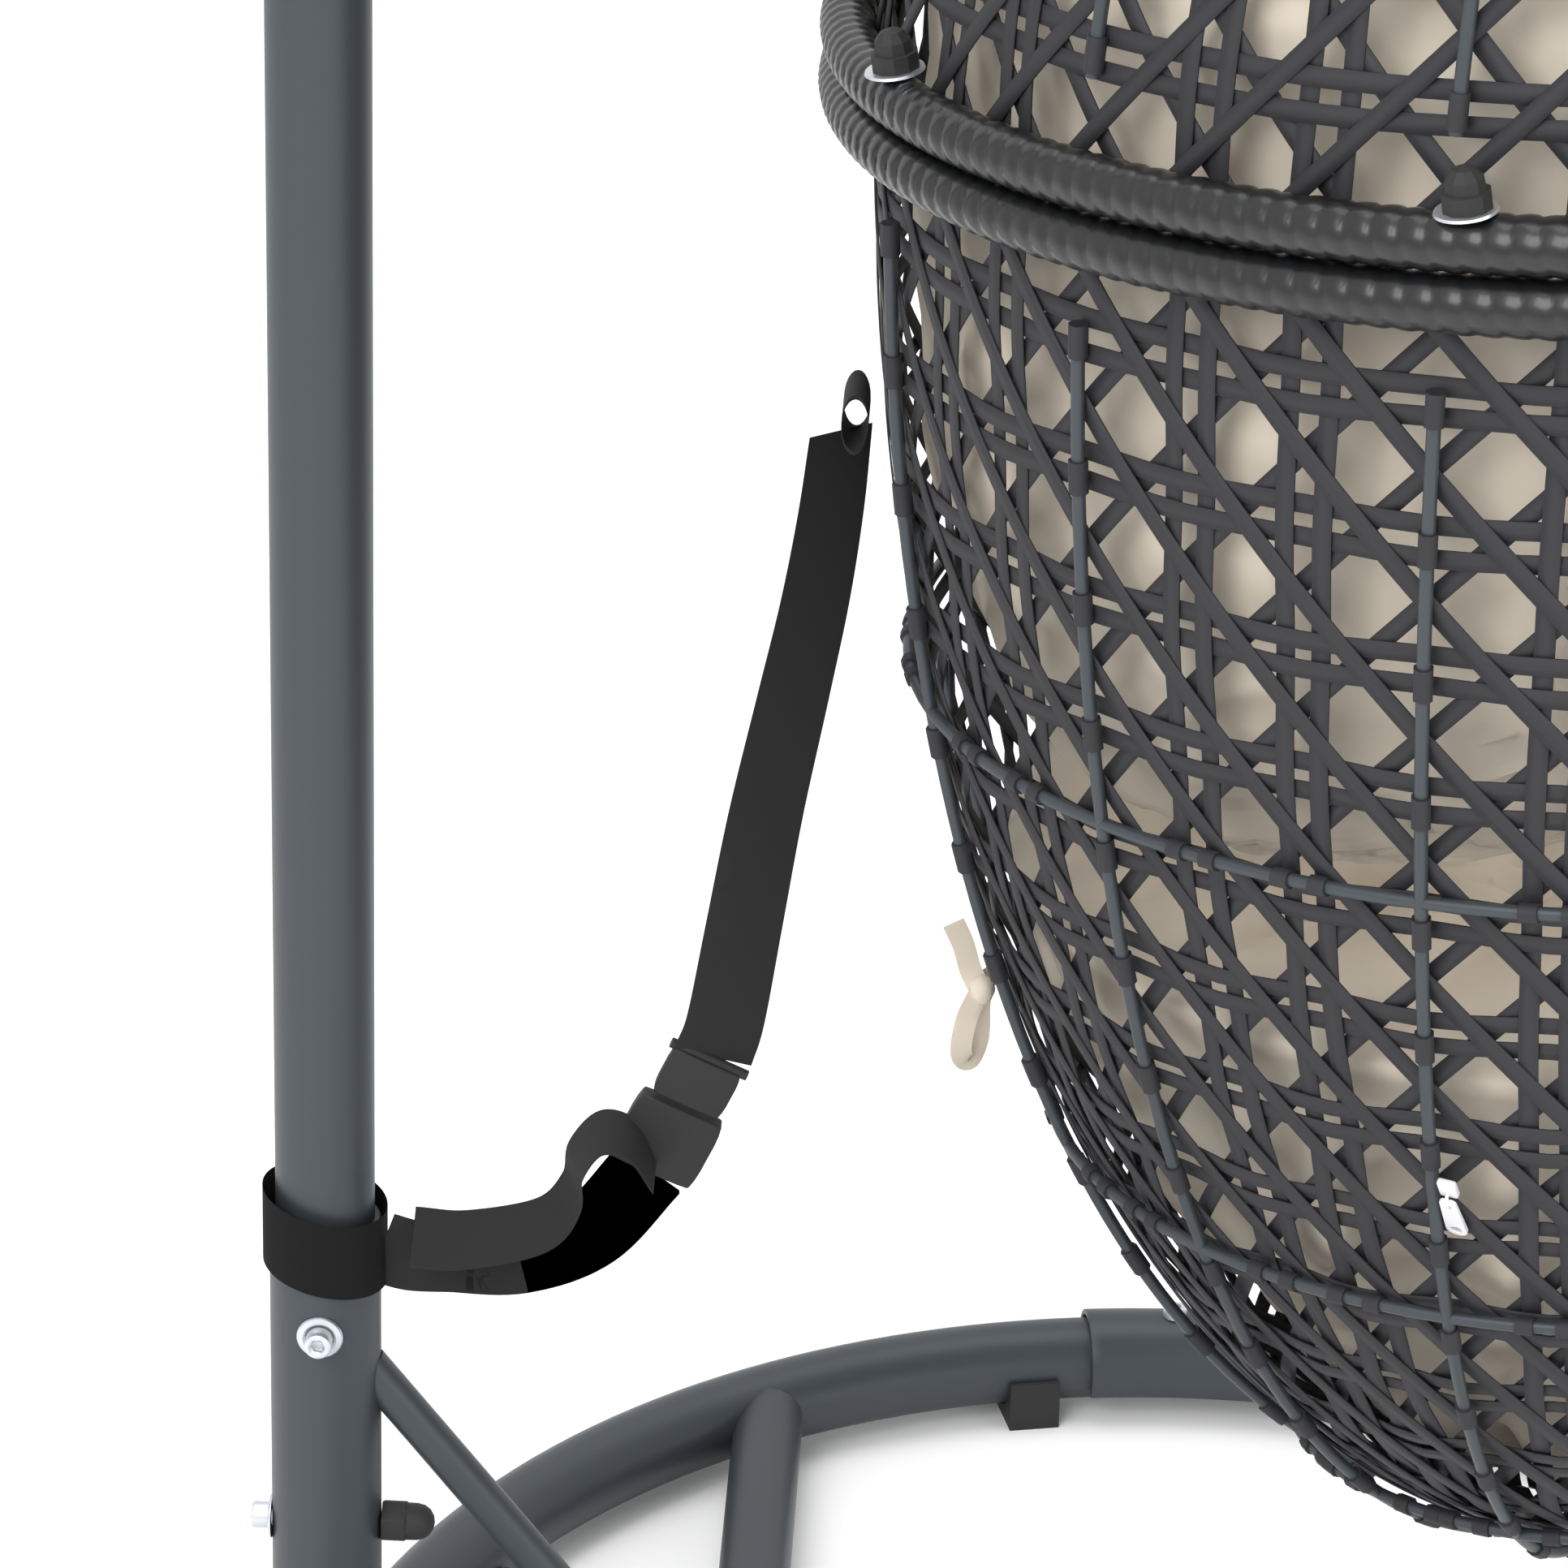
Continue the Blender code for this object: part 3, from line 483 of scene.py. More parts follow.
# ---- settings ---------------------------------------------------------------------------------
class EggChairSettings(bpy.types.PropertyGroup):
    """Sizes and colours that change from one finish to another."""

    strip_width: FloatProperty(name="Strip Width", description="Width of the flat weaving strip",
                               default=0.0086, min=0.004, max=0.02, unit="LENGTH")
    row_pitch: FloatProperty(name="Row Pitch", description="Distance between pairs of level strips",
                             default=0.062, min=0.03, max=0.12, unit="LENGTH")
    wrap_pitch: FloatProperty(name="Rim Wrap", description="Visible width of one turn of strip on a rim",
                              default=0.0112, min=0.004, max=0.02, unit="LENGTH")
    wire_radius: FloatProperty(name="Wire Radius", description="Radius of the basket's hoops and ribs",
                               default=0.0030, min=0.001, max=0.01, unit="LENGTH")
    rim_radius: FloatProperty(name="Rim Radius", description="Radius of a wound rim",
                              default=0.0125, min=0.005, max=0.03, unit="LENGTH")
    strap_width: FloatProperty(name="Webbing Width", description="Width of the safety strap",
                               default=0.038, min=0.02, max=0.06, unit="LENGTH")
    cushion_puff: FloatProperty(name="Cushion Puff", description="How far the filling swells between tufts",
                                default=0.012, min=0.0, max=0.04, unit="LENGTH")
    coat_colour: FloatVectorProperty(name="Coat", description="Colour of the powder coat", subtype="COLOR",
                                     size=3, default=(0.027, 0.035, 0.040), min=0, max=1)
    strip_colour: FloatVectorProperty(name="Strip", description="Colour of the weaving strip",
                                      subtype="COLOR", size=3, default=(0.0065, 0.0070, 0.0080), min=0, max=1)
    cloth_colour: FloatVectorProperty(name="Cushions", description="Colour of the cushion cloth",
                                      subtype="COLOR", size=3, default=(0.76, 0.69, 0.58), min=0, max=1)


# ---- operators --------------------------------------------------------------------------------
class EGGCHAIR_OT_finishes(bpy.types.Operator):
    """Make the finishes and give them to the pieces of the frame that stay in view"""

    bl_idname = "eggchair.finishes"
    bl_label = "Finishes"

    def execute(self, context):
        given = context.scene.egg_chair
        finish("powder_coat", given.coat_colour, 0.44, 0.0, tone=0.10, grain=1400, bump=0.10, depth=0.0002)
        finish("zinc", (0.66, 0.68, 0.72), 0.26, 1.0, tone=0.20, cloud=60, grain=700, bump=0.12)
        finish("black_plastic", (0.008, 0.008, 0.009), 0.44, tone=0.20, grain=1600, bump=0.12, specular=0.3)
        finish("webbing", (0.0035, 0.0035, 0.0040), 0.85, tone=0.30, bump=0.6, depth=0.0002,
               threads=(0.0016, 0.0026, 0.55), specular=0.18)
        finish("wicker", given.strip_colour, 0.42, tone=0.60, cloud=22, grain=500, bump=0.20, specular=0.16)
        finish("rim_strip", tuple(c * 0.75 for c in given.strip_colour), 0.34, tone=0.50, cloud=40, grain=400,
               bump=0.18, coat=0.15)
        finish("cushion_cloth", given.cloth_colour, 0.92, tone=0.10, cloud=5, bump=0.55, depth=0.0003,
               threads=(0.0019, 0.0024, 0.7), sheen=0.2, specular=0.25)
        finish("white_enamel", (0.80, 0.79, 0.84), 0.32, 0.1, tone=0.06, grain=600, bump=0.05)
        record = {part["node"]: part["material_slot"] for part in frame["record"]["subparts"]}
        for node, obj in frame["nodes"].items():
            for material_slot in obj.material_slots:
                material_slot.material = bpy.data.materials[record[node]]
        return {"FINISHED"}


class EGGCHAIR_OT_stand(bpy.types.Operator):
    """Lay smooth tubes for the base, the post and the arm"""

    bl_idname = "eggchair.stand"
    bl_label = "Stand"

    def execute(self, context):
        ring = [ring_point(turn) for turn in arc(193, 0, 2 * math.pi)[:-1]]
        settle(rods("base_ring_tube", [ring], RING_TUBE, closed=True, resolution=8), "powder_coat", "stand",
               "base_ring_back", "base_ring_front")
        reach = math.sqrt((RING_R - 0.012) ** 2 - (RING_R - CROSS_FORWARD) ** 2)
        cross = [at(CROSS_FORWARD, -reach, RING_Z), at(CROSS_FORWARD, reach, RING_Z)]
        settle(rods("cross_tube_smooth", [cross], 0.0190, resolution=8), "powder_coat", "stand", "cross_tube")
        spine = [at(0.010, 0, RING_Z), at(CROSS_FORWARD - 0.008, 0, RING_Z)]
        settle(rods("spine_tube_smooth", [spine], 0.0170, resolution=8), "powder_coat", "stand", "spine_tube")
        brace = [at(0.020, 0, 0.270), at(0.150, 0, 0.1015), at(0.196, 0, 0.0415)]
        settle(rods("post_brace_smooth", [brace], 0.0100, resolution=6), "powder_coat", "stand", "post_brace")
        self.posts()
        self.arm()
        self.joints()
        return {"FINISHED"}

    def posts(self):
        axis = Matrix.Translation(at(0, 0, 0))
        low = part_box("lower_post")
        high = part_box("upper_post")
        lower = [(0.0238, high[0][2]), (0.0238, low[1][2]), (0.0262, low[1][2]),
                 (LOWER_POST_R, low[1][2] - 0.0008), (LOWER_POST_R, RING_Z + 0.020)]
        closed = [(0.0, low[1][2] - 0.02), *lower, (0.0, RING_Z + 0.020)]
        settle(turned_piece("lower_post_smooth", closed, axis, 64),
               "powder_coat", "stand", "lower_post", "post_stub")
        top = high[1][2]
        upper = [(0.0, top), (0.0232, top), (0.0240, top - 0.0008), (0.0240, high[0][2]), (0.0, high[0][2])]
        settle(turned_piece("upper_post_smooth", upper, axis, 64), "powder_coat", "stand", "upper_post")
        bead = [at(0.0265 * math.cos(a), 0.0265 * math.sin(a), 0.0500) for a in arc(65, 0, 2 * math.pi)[:-1]]
        settle(rods("post_weld", [bead], 0.0030, closed=True, resolution=3), "powder_coat", "stand")

    def arm(self):
        low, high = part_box("arm_tube")
        radius = 0.0215
        top = high[2] - radius
        bend = 0.300
        line = [at(0, 0, low[2]), at(0, 0, top - bend)]
        line += [at(bend - bend * math.cos(a), 0, top - bend + bend * math.sin(a))
                 for a in arc(40, 0.02, math.radians(86))]
        line += [at(bend + 0.02 + (HANG_FORWARD + 0.035 - bend - 0.02) * k / 6, 0, top - 0.002 * k)
                 for k in range(1, 7)]
        settle(rods("arm_smooth", [line], radius, resolution=8), "powder_coat", "stand", "arm_tube")
        low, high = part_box("arm_eye")
        eye = 0.0048
        half = 0.0170
        curve = [at(HANG_FORWARD - half, 0, high[2] - eye)]
        curve += [at(HANG_FORWARD - half * math.cos(a), 0, low[2] + eye + 0.021 - 0.021 * math.sin(a))
                  for a in arc(25, 0, math.pi)]
        curve += [at(HANG_FORWARD + half, 0, high[2] - eye)]
        settle(rods("arm_eye_smooth", [curve], eye, resolution=5), "powder_coat", "stand", "arm_eye")

    def joints(self):
        """The U-shaped sleeves over the ring's two joints, each with two bolts."""
        for label, sign in (("left", -1), ("right", 1)):
            form = bmesh.new()
            grid = bmesh.ops.create_grid(form, x_segments=18, y_segments=28, size=1)
            span = math.radians(118)
            middle = sign * math.pi / 2
            for vert in grid["verts"]:
                turn = middle + vert.co.x * math.radians(8.5)
                lean = vert.co.y * span
                radius = RING_TUBE + 0.0031
                vert.co = ring_point(turn, RING_R + radius * math.sin(lean), RING_Z + radius * math.cos(lean))
            bmesh.ops.recalc_face_normals(form, faces=form.faces)
            sleeve = smooth_mesh(f"ring_sleeve_{label}", form, 40)
            wall = sleeve.modifiers.new("wall", "SOLIDIFY")
            wall.thickness = 0.0030
            wall.offset = 0
            edge = sleeve.modifiers.new("edges", "BEVEL")
            edge.width = 0.0006
            edge.segments = 2
            settle(sleeve, "powder_coat", "stand", f"ring_joint_{label}")
            for number, step in enumerate((-1, 1)):
                turn = middle + step * 0.017 / RING_R
                spot = ring_point(turn)
                head = [(0, 0.0030), (0.0030, 0.0030), (0.0034, 0.0058), (0.0056, 0.0056), (0.0065, 0.0040),
                        (0.0066, 0.0), (0, 0.0)]
                place = Matrix.Translation(spot + UP * (RING_TUBE + 0.0046))
                settle(turned_piece(f"ring_bolt_{label}_{number}", head, place, 24), "zinc", "stand")
                cap = [(0, 0.0), (0.0078, 0.0), (0.0082, -0.0035), (0.0072, -0.0080), (0.0040, -0.0108),
                       (0, -0.0118)]
                if spot.z - RING_TUBE - 0.0118 > 0.0:
                    below = Matrix.Translation(spot - UP * (RING_TUBE - 0.0072))
                    settle(turned_piece(f"ring_cap_{label}_{number}", cap, below, 24), "black_plastic",
                           "stand")


class EGGCHAIR_OT_bolts(bpy.types.Operator):
    """Make the socket-head bolts, dished washers and capped nuts on the post"""

    bl_idname = "eggchair.bolts"
    bl_label = "Post Bolts"

    def execute(self, context):
        for prefix, direction in (("joint_bolt", Vector((-1, 0, 0))), ("foot_bolt", Vector((0, 1, 0)))):
            washer_low, washer_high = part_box(prefix + "_washer")
            height = (washer_low[2] + washer_high[2]) / 2
            origin = at(0, 0, height) + direction * LOWER_POST_R
            self.bolt(prefix, direction, origin)
            self.nut(prefix, -direction, at(0, 0, height) - direction * 0.0274)
        return {"FINISHED"}

    def bolt(self, prefix, direction, origin):
        place = along(direction, origin)
        washer = [(0.0050, 0.0006), (0.0062, 0.0006), (0.0082, 0.0018), (0.0106, 0.0012), (0.0113, 0.0002),
                  (0.0113, 0.0), (0.0050, 0.0)]
        settle(turned_piece(prefix + "_washer_dished", washer + washer[:1], place, 48), "zinc", "stand",
               prefix + "_washer")
        form = bmesh.new()
        bmesh.ops.create_cone(form, cap_ends=True, segments=36, radius1=0.0066, radius2=0.0066, depth=0.0082)
        bmesh.ops.translate(form, verts=form.verts, vec=(0, 0, 0.0059))
        rim = [e for e in form.edges if all(v.co.z > 0.0095 for v in e.verts)]
        bmesh.ops.bevel(form, geom=rim, offset=0.0010, segments=3, profile=0.5, affect="EDGES", material=-1)
        head = smooth_mesh(prefix + "_socket_head", form, 35)
        tool_form = bmesh.new()
        bmesh.ops.create_cone(tool_form, cap_ends=True, segments=6, radius1=0.0036, radius2=0.0036,
                              depth=0.0090)
        bmesh.ops.translate(tool_form, verts=tool_form.verts, vec=(0, 0, 0.0105))
        tool = smooth_mesh("hex_cutter", tool_form)
        for obj in (head, tool):
            bpy.context.scene.collection.objects.link(obj)
        cut = head.modifiers.new("hex socket", "BOOLEAN")
        cut.operation = "DIFFERENCE"
        cut.object = tool
        bpy.context.view_layer.update()
        graph = bpy.context.evaluated_depsgraph_get()
        mesh = bpy.data.meshes.new_from_object(head.evaluated_get(graph))
        head.modifiers.clear()
        head.data = mesh
        bpy.data.objects.remove(tool)
        mesh.transform(place)
        settle(head, "zinc", "stand", prefix + "_head")

    def nut(self, prefix, direction, origin):
        form = bmesh.new()
        bmesh.ops.create_cone(form, cap_ends=True, segments=6, radius1=0.0112, radius2=0.0112, depth=0.0120)
        bmesh.ops.translate(form, verts=form.verts, vec=(0, 0, 0.0062))
        bmesh.ops.bevel(form, geom=form.edges[:], offset=0.0006, segments=2, profile=0.5, affect="EDGES",
                        material=-1)
        bmesh.ops.transform(form, matrix=along(direction, origin), verts=form.verts)
        settle(smooth_mesh(prefix + "_hex_base", form, 35), "black_plastic", "stand", prefix + "_cap_nut")
        dome = [(0, 0.0262), (0.0034, 0.0256), (0.0064, 0.0238), (0.0084, 0.0210), (0.0092, 0.0176),
                (0.0093, 0.0110), (0, 0.0110)]
        settle(turned_piece(prefix + "_dome", dome, along(direction, origin), 36), "black_plastic", "stand")


class EGGCHAIR_OT_hanger(bpy.types.Operator):
    """Make the links, the swivel and the coil spring that carry the basket"""

    bl_idname = "eggchair.hanger"
    bl_label = "Hanger"

    def execute(self, context):
        for node, radius, body, slot in (("hanger_shackle", 0.0040, "shackle", "zinc"),
                                         ("swivel_eye", 0.0036, "swivel", "zinc"),
                                         ("snap_hook", 0.0036, "basket", "zinc"),
                                         ("basket_eye", 0.0048, "basket", "powder_coat")):
            low, high = (Vector(corner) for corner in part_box(node))
            middle = (low + high) / 2
            wide = max(high.x - low.x, high.y - low.y) / 2 - radius
            tall = (high.z - low.z) / 2 - radius
            facing = Vector((1, 0, 0)) if high.x - low.x > high.y - low.y else Vector((0, 1, 0))
            line = []
            for a in arc(49, 0, 2 * math.pi)[:-1]:
                share = math.copysign(abs(math.cos(a)) ** 0.6, math.cos(a))
                line.append(middle + facing * wide * share + UP * tall * math.sin(a))
            settle(rods(node + "_rod", [line], radius, closed=True, resolution=4), slot, body, node)
        self.barrel()
        self.spring()
        return {"FINISHED"}

    def barrel(self):
        low, high = (Vector(corner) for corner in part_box("swivel_barrel"))
        middle = Vector(((low.x + high.x) / 2, (low.y + high.y) / 2, high.z))
        drop = low.z - high.z
        outline = [(0, 0), (0.0135, 0), (0.0165, -0.0016), (0.0180, -0.0048), (0.0180, drop * 0.42),
                   (0.0172, drop * 0.46), (0.0180, drop * 0.50), (0.0178, drop * 0.76), (0.0150, drop * 0.90),
                   (0.0108, drop), (0, drop)]
        settle(turned_piece("swivel_turned", outline, Matrix.Translation(middle), 48, 50), "zinc", "swivel",
               "swivel_barrel")

    def spring(self):
        low, high = (Vector(corner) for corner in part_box("suspension_spring"))
        wire = 0.0026
        radius = 0.0190
        neck = 0.018
        turns, steps = 7, 32
        line = [at(HANG_FORWARD, 0, high.z), at(HANG_FORWARD, 0, high.z - neck / 2)]
        for k in range(turns * steps + 1):
            angle = 2 * math.pi * k / steps
            height = high.z - neck - (high.z - low.z - 2 * neck) * k / (turns * steps)
            line.append(at(HANG_FORWARD + radius * math.sin(angle), radius * math.cos(angle), height))
        line += [at(HANG_FORWARD, 0, low.z + neck / 2), at(HANG_FORWARD, 0, low.z)]
        settle(rods("spring_coil", [line], wire, resolution=3), "zinc", "basket", "suspension_spring")


class EGGCHAIR_OT_basket_frame(bpy.types.Operator):
    """Weld the hoops and ribs, and bind them with short bands of strip"""

    bl_idname = "eggchair.basket_frame"
    bl_label = "Basket Frame"

    def execute(self, context):
        given = context.scene.egg_chair
        out = given.wire_radius + 0.0012
        turns = [FIRST_TURN + 2 * math.pi * k / BAYS for k in range(BAYS)]
        rises = [math.radians(a) for a in arc(60, 4, 80)]
        ribs = [[egg(around(turn, -math.sin(a), out)) for a in rises] for turn in turns]
        settle(rods("bowl_ribs", ribs, given.wire_radius), "powder_coat", "basket", "bowl_frame")
        hoops = [[egg(around(turn, up, out)) for turn in arc(145, 0, 2 * math.pi)[:-1]]
                 for up in (-0.37, -0.67, -0.90, -0.978)]
        settle(rods("bowl_hoops", hoops, given.wire_radius, closed=True), "powder_coat", "basket")
        high = [turn for turn in turns if math.cos(turn) < -0.19]
        rises = [math.radians(a) for a in arc(40, 6, 71)]
        lines = [[egg(around(turn, math.sin(a), out)) for a in rises] for turn in high]
        for up, first, last in ((0.45, 108, 252), (0.93, 120, 240)):
            lines.append([egg(around(math.radians(t), up, out)) for t in arc(60, first, last)])
        settle(rods("hood_wires", lines, given.wire_radius), "powder_coat", "basket", "hood_frame")
        self.bands(turns, high, out, given)
        return {"FINISHED"}

    def bands(self, turns, high, out, given):
        """Short wraps of strip round the ribs where the level pairs cross, and round the hoops."""
        lines = []
        depth = BOWL.reach[-1]
        for turn in turns:
            for r in range(1, int(depth / given.row_pitch)):
                reach = r * given.row_pitch
                ends = [egg(around(turn, -BOWL.up(reach + s * 0.0075), out)) for s in (-1, 0, 1)]
                lines.append(ends)
        for up in (-0.37, -0.67, -0.90):
            for c in range(COLUMNS):
                if c % 3:
                    base = FIRST_TURN + c * 2 * math.pi / COLUMNS
                    lean = 0.0088 / BASKET_A / math.sqrt(1 - up * up)
                    for side in (-1, 1):
                        lines.append([egg(around(base + side * lean + s * lean * 0.45, up, out))
                                      for s in (-1, 1)])
        for turn in high:
            for r in range(1, 9):
                lines.append([egg(around(turn, HOOD.up(r * given.row_pitch + s * 0.0075), out))
                              for s in (-1, 0, 1)])
        settle(rods("frame_bands", lines, given.wire_radius + 0.0014, resolution=2), "wicker", "basket")


class EGGCHAIR_OT_weave(bpy.types.Operator):
    """Weave the bowl and the hood from flat strips"""

    bl_idname = "eggchair.weave"
    bl_label = "Weave"

    def execute(self, context):
        given = context.scene.egg_chair
        half = given.strip_width / 2
        bowl = weave("bowl", BOWL, -1, float(np.interp(math.radians(79), BOWL.rise, BOWL.reach)),
                     given.row_pitch, half, -0.0014, 5)
        hood = weave("hood", HOOD, 1, float(np.interp(math.radians(84), HOOD.rise, HOOD.reach)),
                     given.row_pitch, half, -0.0014, 9)
        for strips, node in ((bowl, "bowl_weave"), (hood, "hood_weave")):
            settle(strips[0], "wicker", "basket", node)
            for more in strips[1:]:
                settle(more, "wicker", "basket")
        self.crown_and_base()
        return {"FINISHED"}

    def crown_and_base(self):
        """A closed rosette of strips where the uprights meet, under the bowl and on the hood's crown."""
        for label, sign, meridian, first, last in (("base", -1, BOWL, 77, 89), ("crown", 1, HOOD, 82, 89.5)):
            form = bmesh.new()
            routes = []
            for k in range(7):
                reach = float(np.interp(math.radians(first + (last - first) * k / 6), meridian.rise,
                                        meridian.reach))
                routes.append((lambda s, reach=reach: (s * 2 * math.pi, reach,
                                                       0.0008 * math.sin(s * 2 * math.pi * 21)), 84))
            lay_strips(form, routes, 0.0052, meridian, sign)
            for vert in form.verts:
                vert.co = egg(vert.co)
            bmesh.ops.recalc_face_normals(form, faces=form.faces)
            obj = smooth_mesh(f"{label}_rosette", form, 60)
            wall = obj.modifiers.new("strip thickness", "SOLIDIFY")
            wall.thickness = 0.0010
            wall.offset = 0
            settle(obj, "wicker", "basket")


class EGGCHAIR_OT_rims(bpy.types.Operator):
    """Wind the bowl's rim, the hood's rim and the arch of the opening with strip"""

    bl_idname = "eggchair.rims"
    bl_label = "Rims"

    def execute(self, context):
        given = context.scene.egg_chair
        out = given.rim_radius + 0.0005
        stack = given.rim_radius + 0.0004

        def bowl(s):
            return egg(around(2 * math.pi * s, 0, out)) - UP * stack

        edge = math.acos(OPEN_OFFSET) - 0.01 + 0.075

        def hood(s):
            return egg(around(edge + (2 * math.pi - 2 * edge) * s, 0, out)) + UP * stack

        lean = math.hypot(1, OPEN_LEAN)
        middle = OPEN_OFFSET / lean
        radius = math.sqrt(1 - middle * middle)

        def arch(s):
            a = 0.07 + (math.pi - 0.14) * s
            side, rise = radius * math.cos(a), radius * math.sin(a)
            forward = (middle + rise * OPEN_LEAN) / lean
            up = (rise - middle * OPEN_LEAN) / lean
            return egg(Vector((side, forward, up)) * (1 + out / BASKET_A)) + UP * stack

        size = given.rim_radius
        for name, route, length, closed, upright, node in (
                ("bowl_rim_wound", bowl, 2.46, True, UP, "bowl_rim"),
                ("hood_rim_wound", hood, 1.12, False, UP, "hood_rim"),
                ("opening_rim_wound", arch, 1.45, False, Vector((0, -1, 0)), "opening_rim")):
            obj = wound_rim(name, route, length, size, closed, given.wrap_pitch, upright)
            settle(obj, "wicker", "basket", node, finish_name="rim_strip")
        return {"FINISHED"}


class EGGCHAIR_OT_cushions(bpy.types.Operator):
    """Shape the cushions, swollen between tufts and gently folded"""

    bl_idname = "eggchair.cushions"
    bl_label = "Cushions"

    def execute(self, context):
        given = context.scene.egg_chair
        self.seat(given)
        self.lining("back_cushion", (84, 276), (-30, 21), 0.085, 0.62, given, (140, 70))
        self.lining("head_pillow", (152, 208), (27, 50), 0.080, 0.80, given, (80, 40))
        return {"FINISHED"}

    def soft(self, turn, rise, puff):
        """How far the cloth stands off its plain form: swollen between tufts, with small folds."""
        x = turn * 7.5
        y = rise * 6.5
        tuft = abs(math.sin(x) * math.sin(y)) ** 0.7
        fold = noise.fractal(Vector((turn * 5, rise * 4, 0.3)), 1.0, 2.0, 3)
        crease = abs(noise.noise(Vector((turn * 9 + rise * 4, rise * 10, 2.1))))
        return puff * (tuft - 0.8) + 0.006 * fold - 0.006 * max(0.0, 0.12 - crease) / 0.12

    def finish_pad(self, name, form, spots, node):
        layer = form.loops.layers.uv.new("UVMap")
        for face in form.faces:
            for loop in face.loops:
                loop[layer].uv = spots[loop.vert]
        if form.calc_volume(signed=True) < 0:
            bmesh.ops.reverse_faces(form, faces=form.faces)
        pad = smooth_mesh(name, form, 180)
        settle(pad, "cushion_cloth", "basket", node)

    def seat(self, given):
        form = bmesh.new()
        bmesh.ops.create_uvsphere(form, u_segments=128, v_segments=96, radius=1)
        edge, thick = 32, 0.200
        spots = {}
        for vert in form.verts:
            x, y, z = vert.co
            share = math.asin(min(1.0, abs(z))) / (math.pi / 2)
            rise = math.radians(edge + (90 - edge) * share)
            turn = math.atan2(x, y)
            depth = 0.0 if z <= 0.0001 else thick * math.sin(share * math.pi / 2) ** 0.6
            swell = self.soft(turn, rise, given.cushion_puff) * min(1.0, (1 - share) * 6)
            side = -1 if z > 0.0001 else 1
            calm = min(1.0, abs(z) * 8)
            vert.co = egg(around(turn, -math.sin(rise), -CUSHION_NEAR - depth + side * swell * calm))
            spots[vert] = (turn * 0.33, rise * 0.60)
        self.finish_pad("seat_pad", form, spots, "seat_cushion")

    def lining(self, node, turns, rises, thick, power, given, steps):
        form = bmesh.new()
        bmesh.ops.create_uvsphere(form, u_segments=steps[0], v_segments=steps[1], radius=1)
        spots = {}
        for vert in form.verts:
            x, y, z = vert.co
            across_it = math.copysign(abs(x) ** power, x)
            up_it = math.copysign(abs(z) ** power, z)
            turn = math.radians((turns[0] + turns[1]) / 2 + across_it * (turns[1] - turns[0]) / 2)
            rise = math.radians((rises[0] + rises[1]) / 2 + up_it * (rises[1] - rises[0]) / 2)
            swell = self.soft(turn, rise, given.cushion_puff) * min(1.0, abs(y) * 4) * math.copysign(1, y)
            vert.co = egg(around(turn, math.sin(rise), -CUSHION_NEAR - thick * (1 - y) / 2 + swell))
            spots[vert] = (turn * 0.38, rise * 0.60)
        self.finish_pad(node.replace("cushion", "pad").replace("pillow", "pad"), form, spots, node)


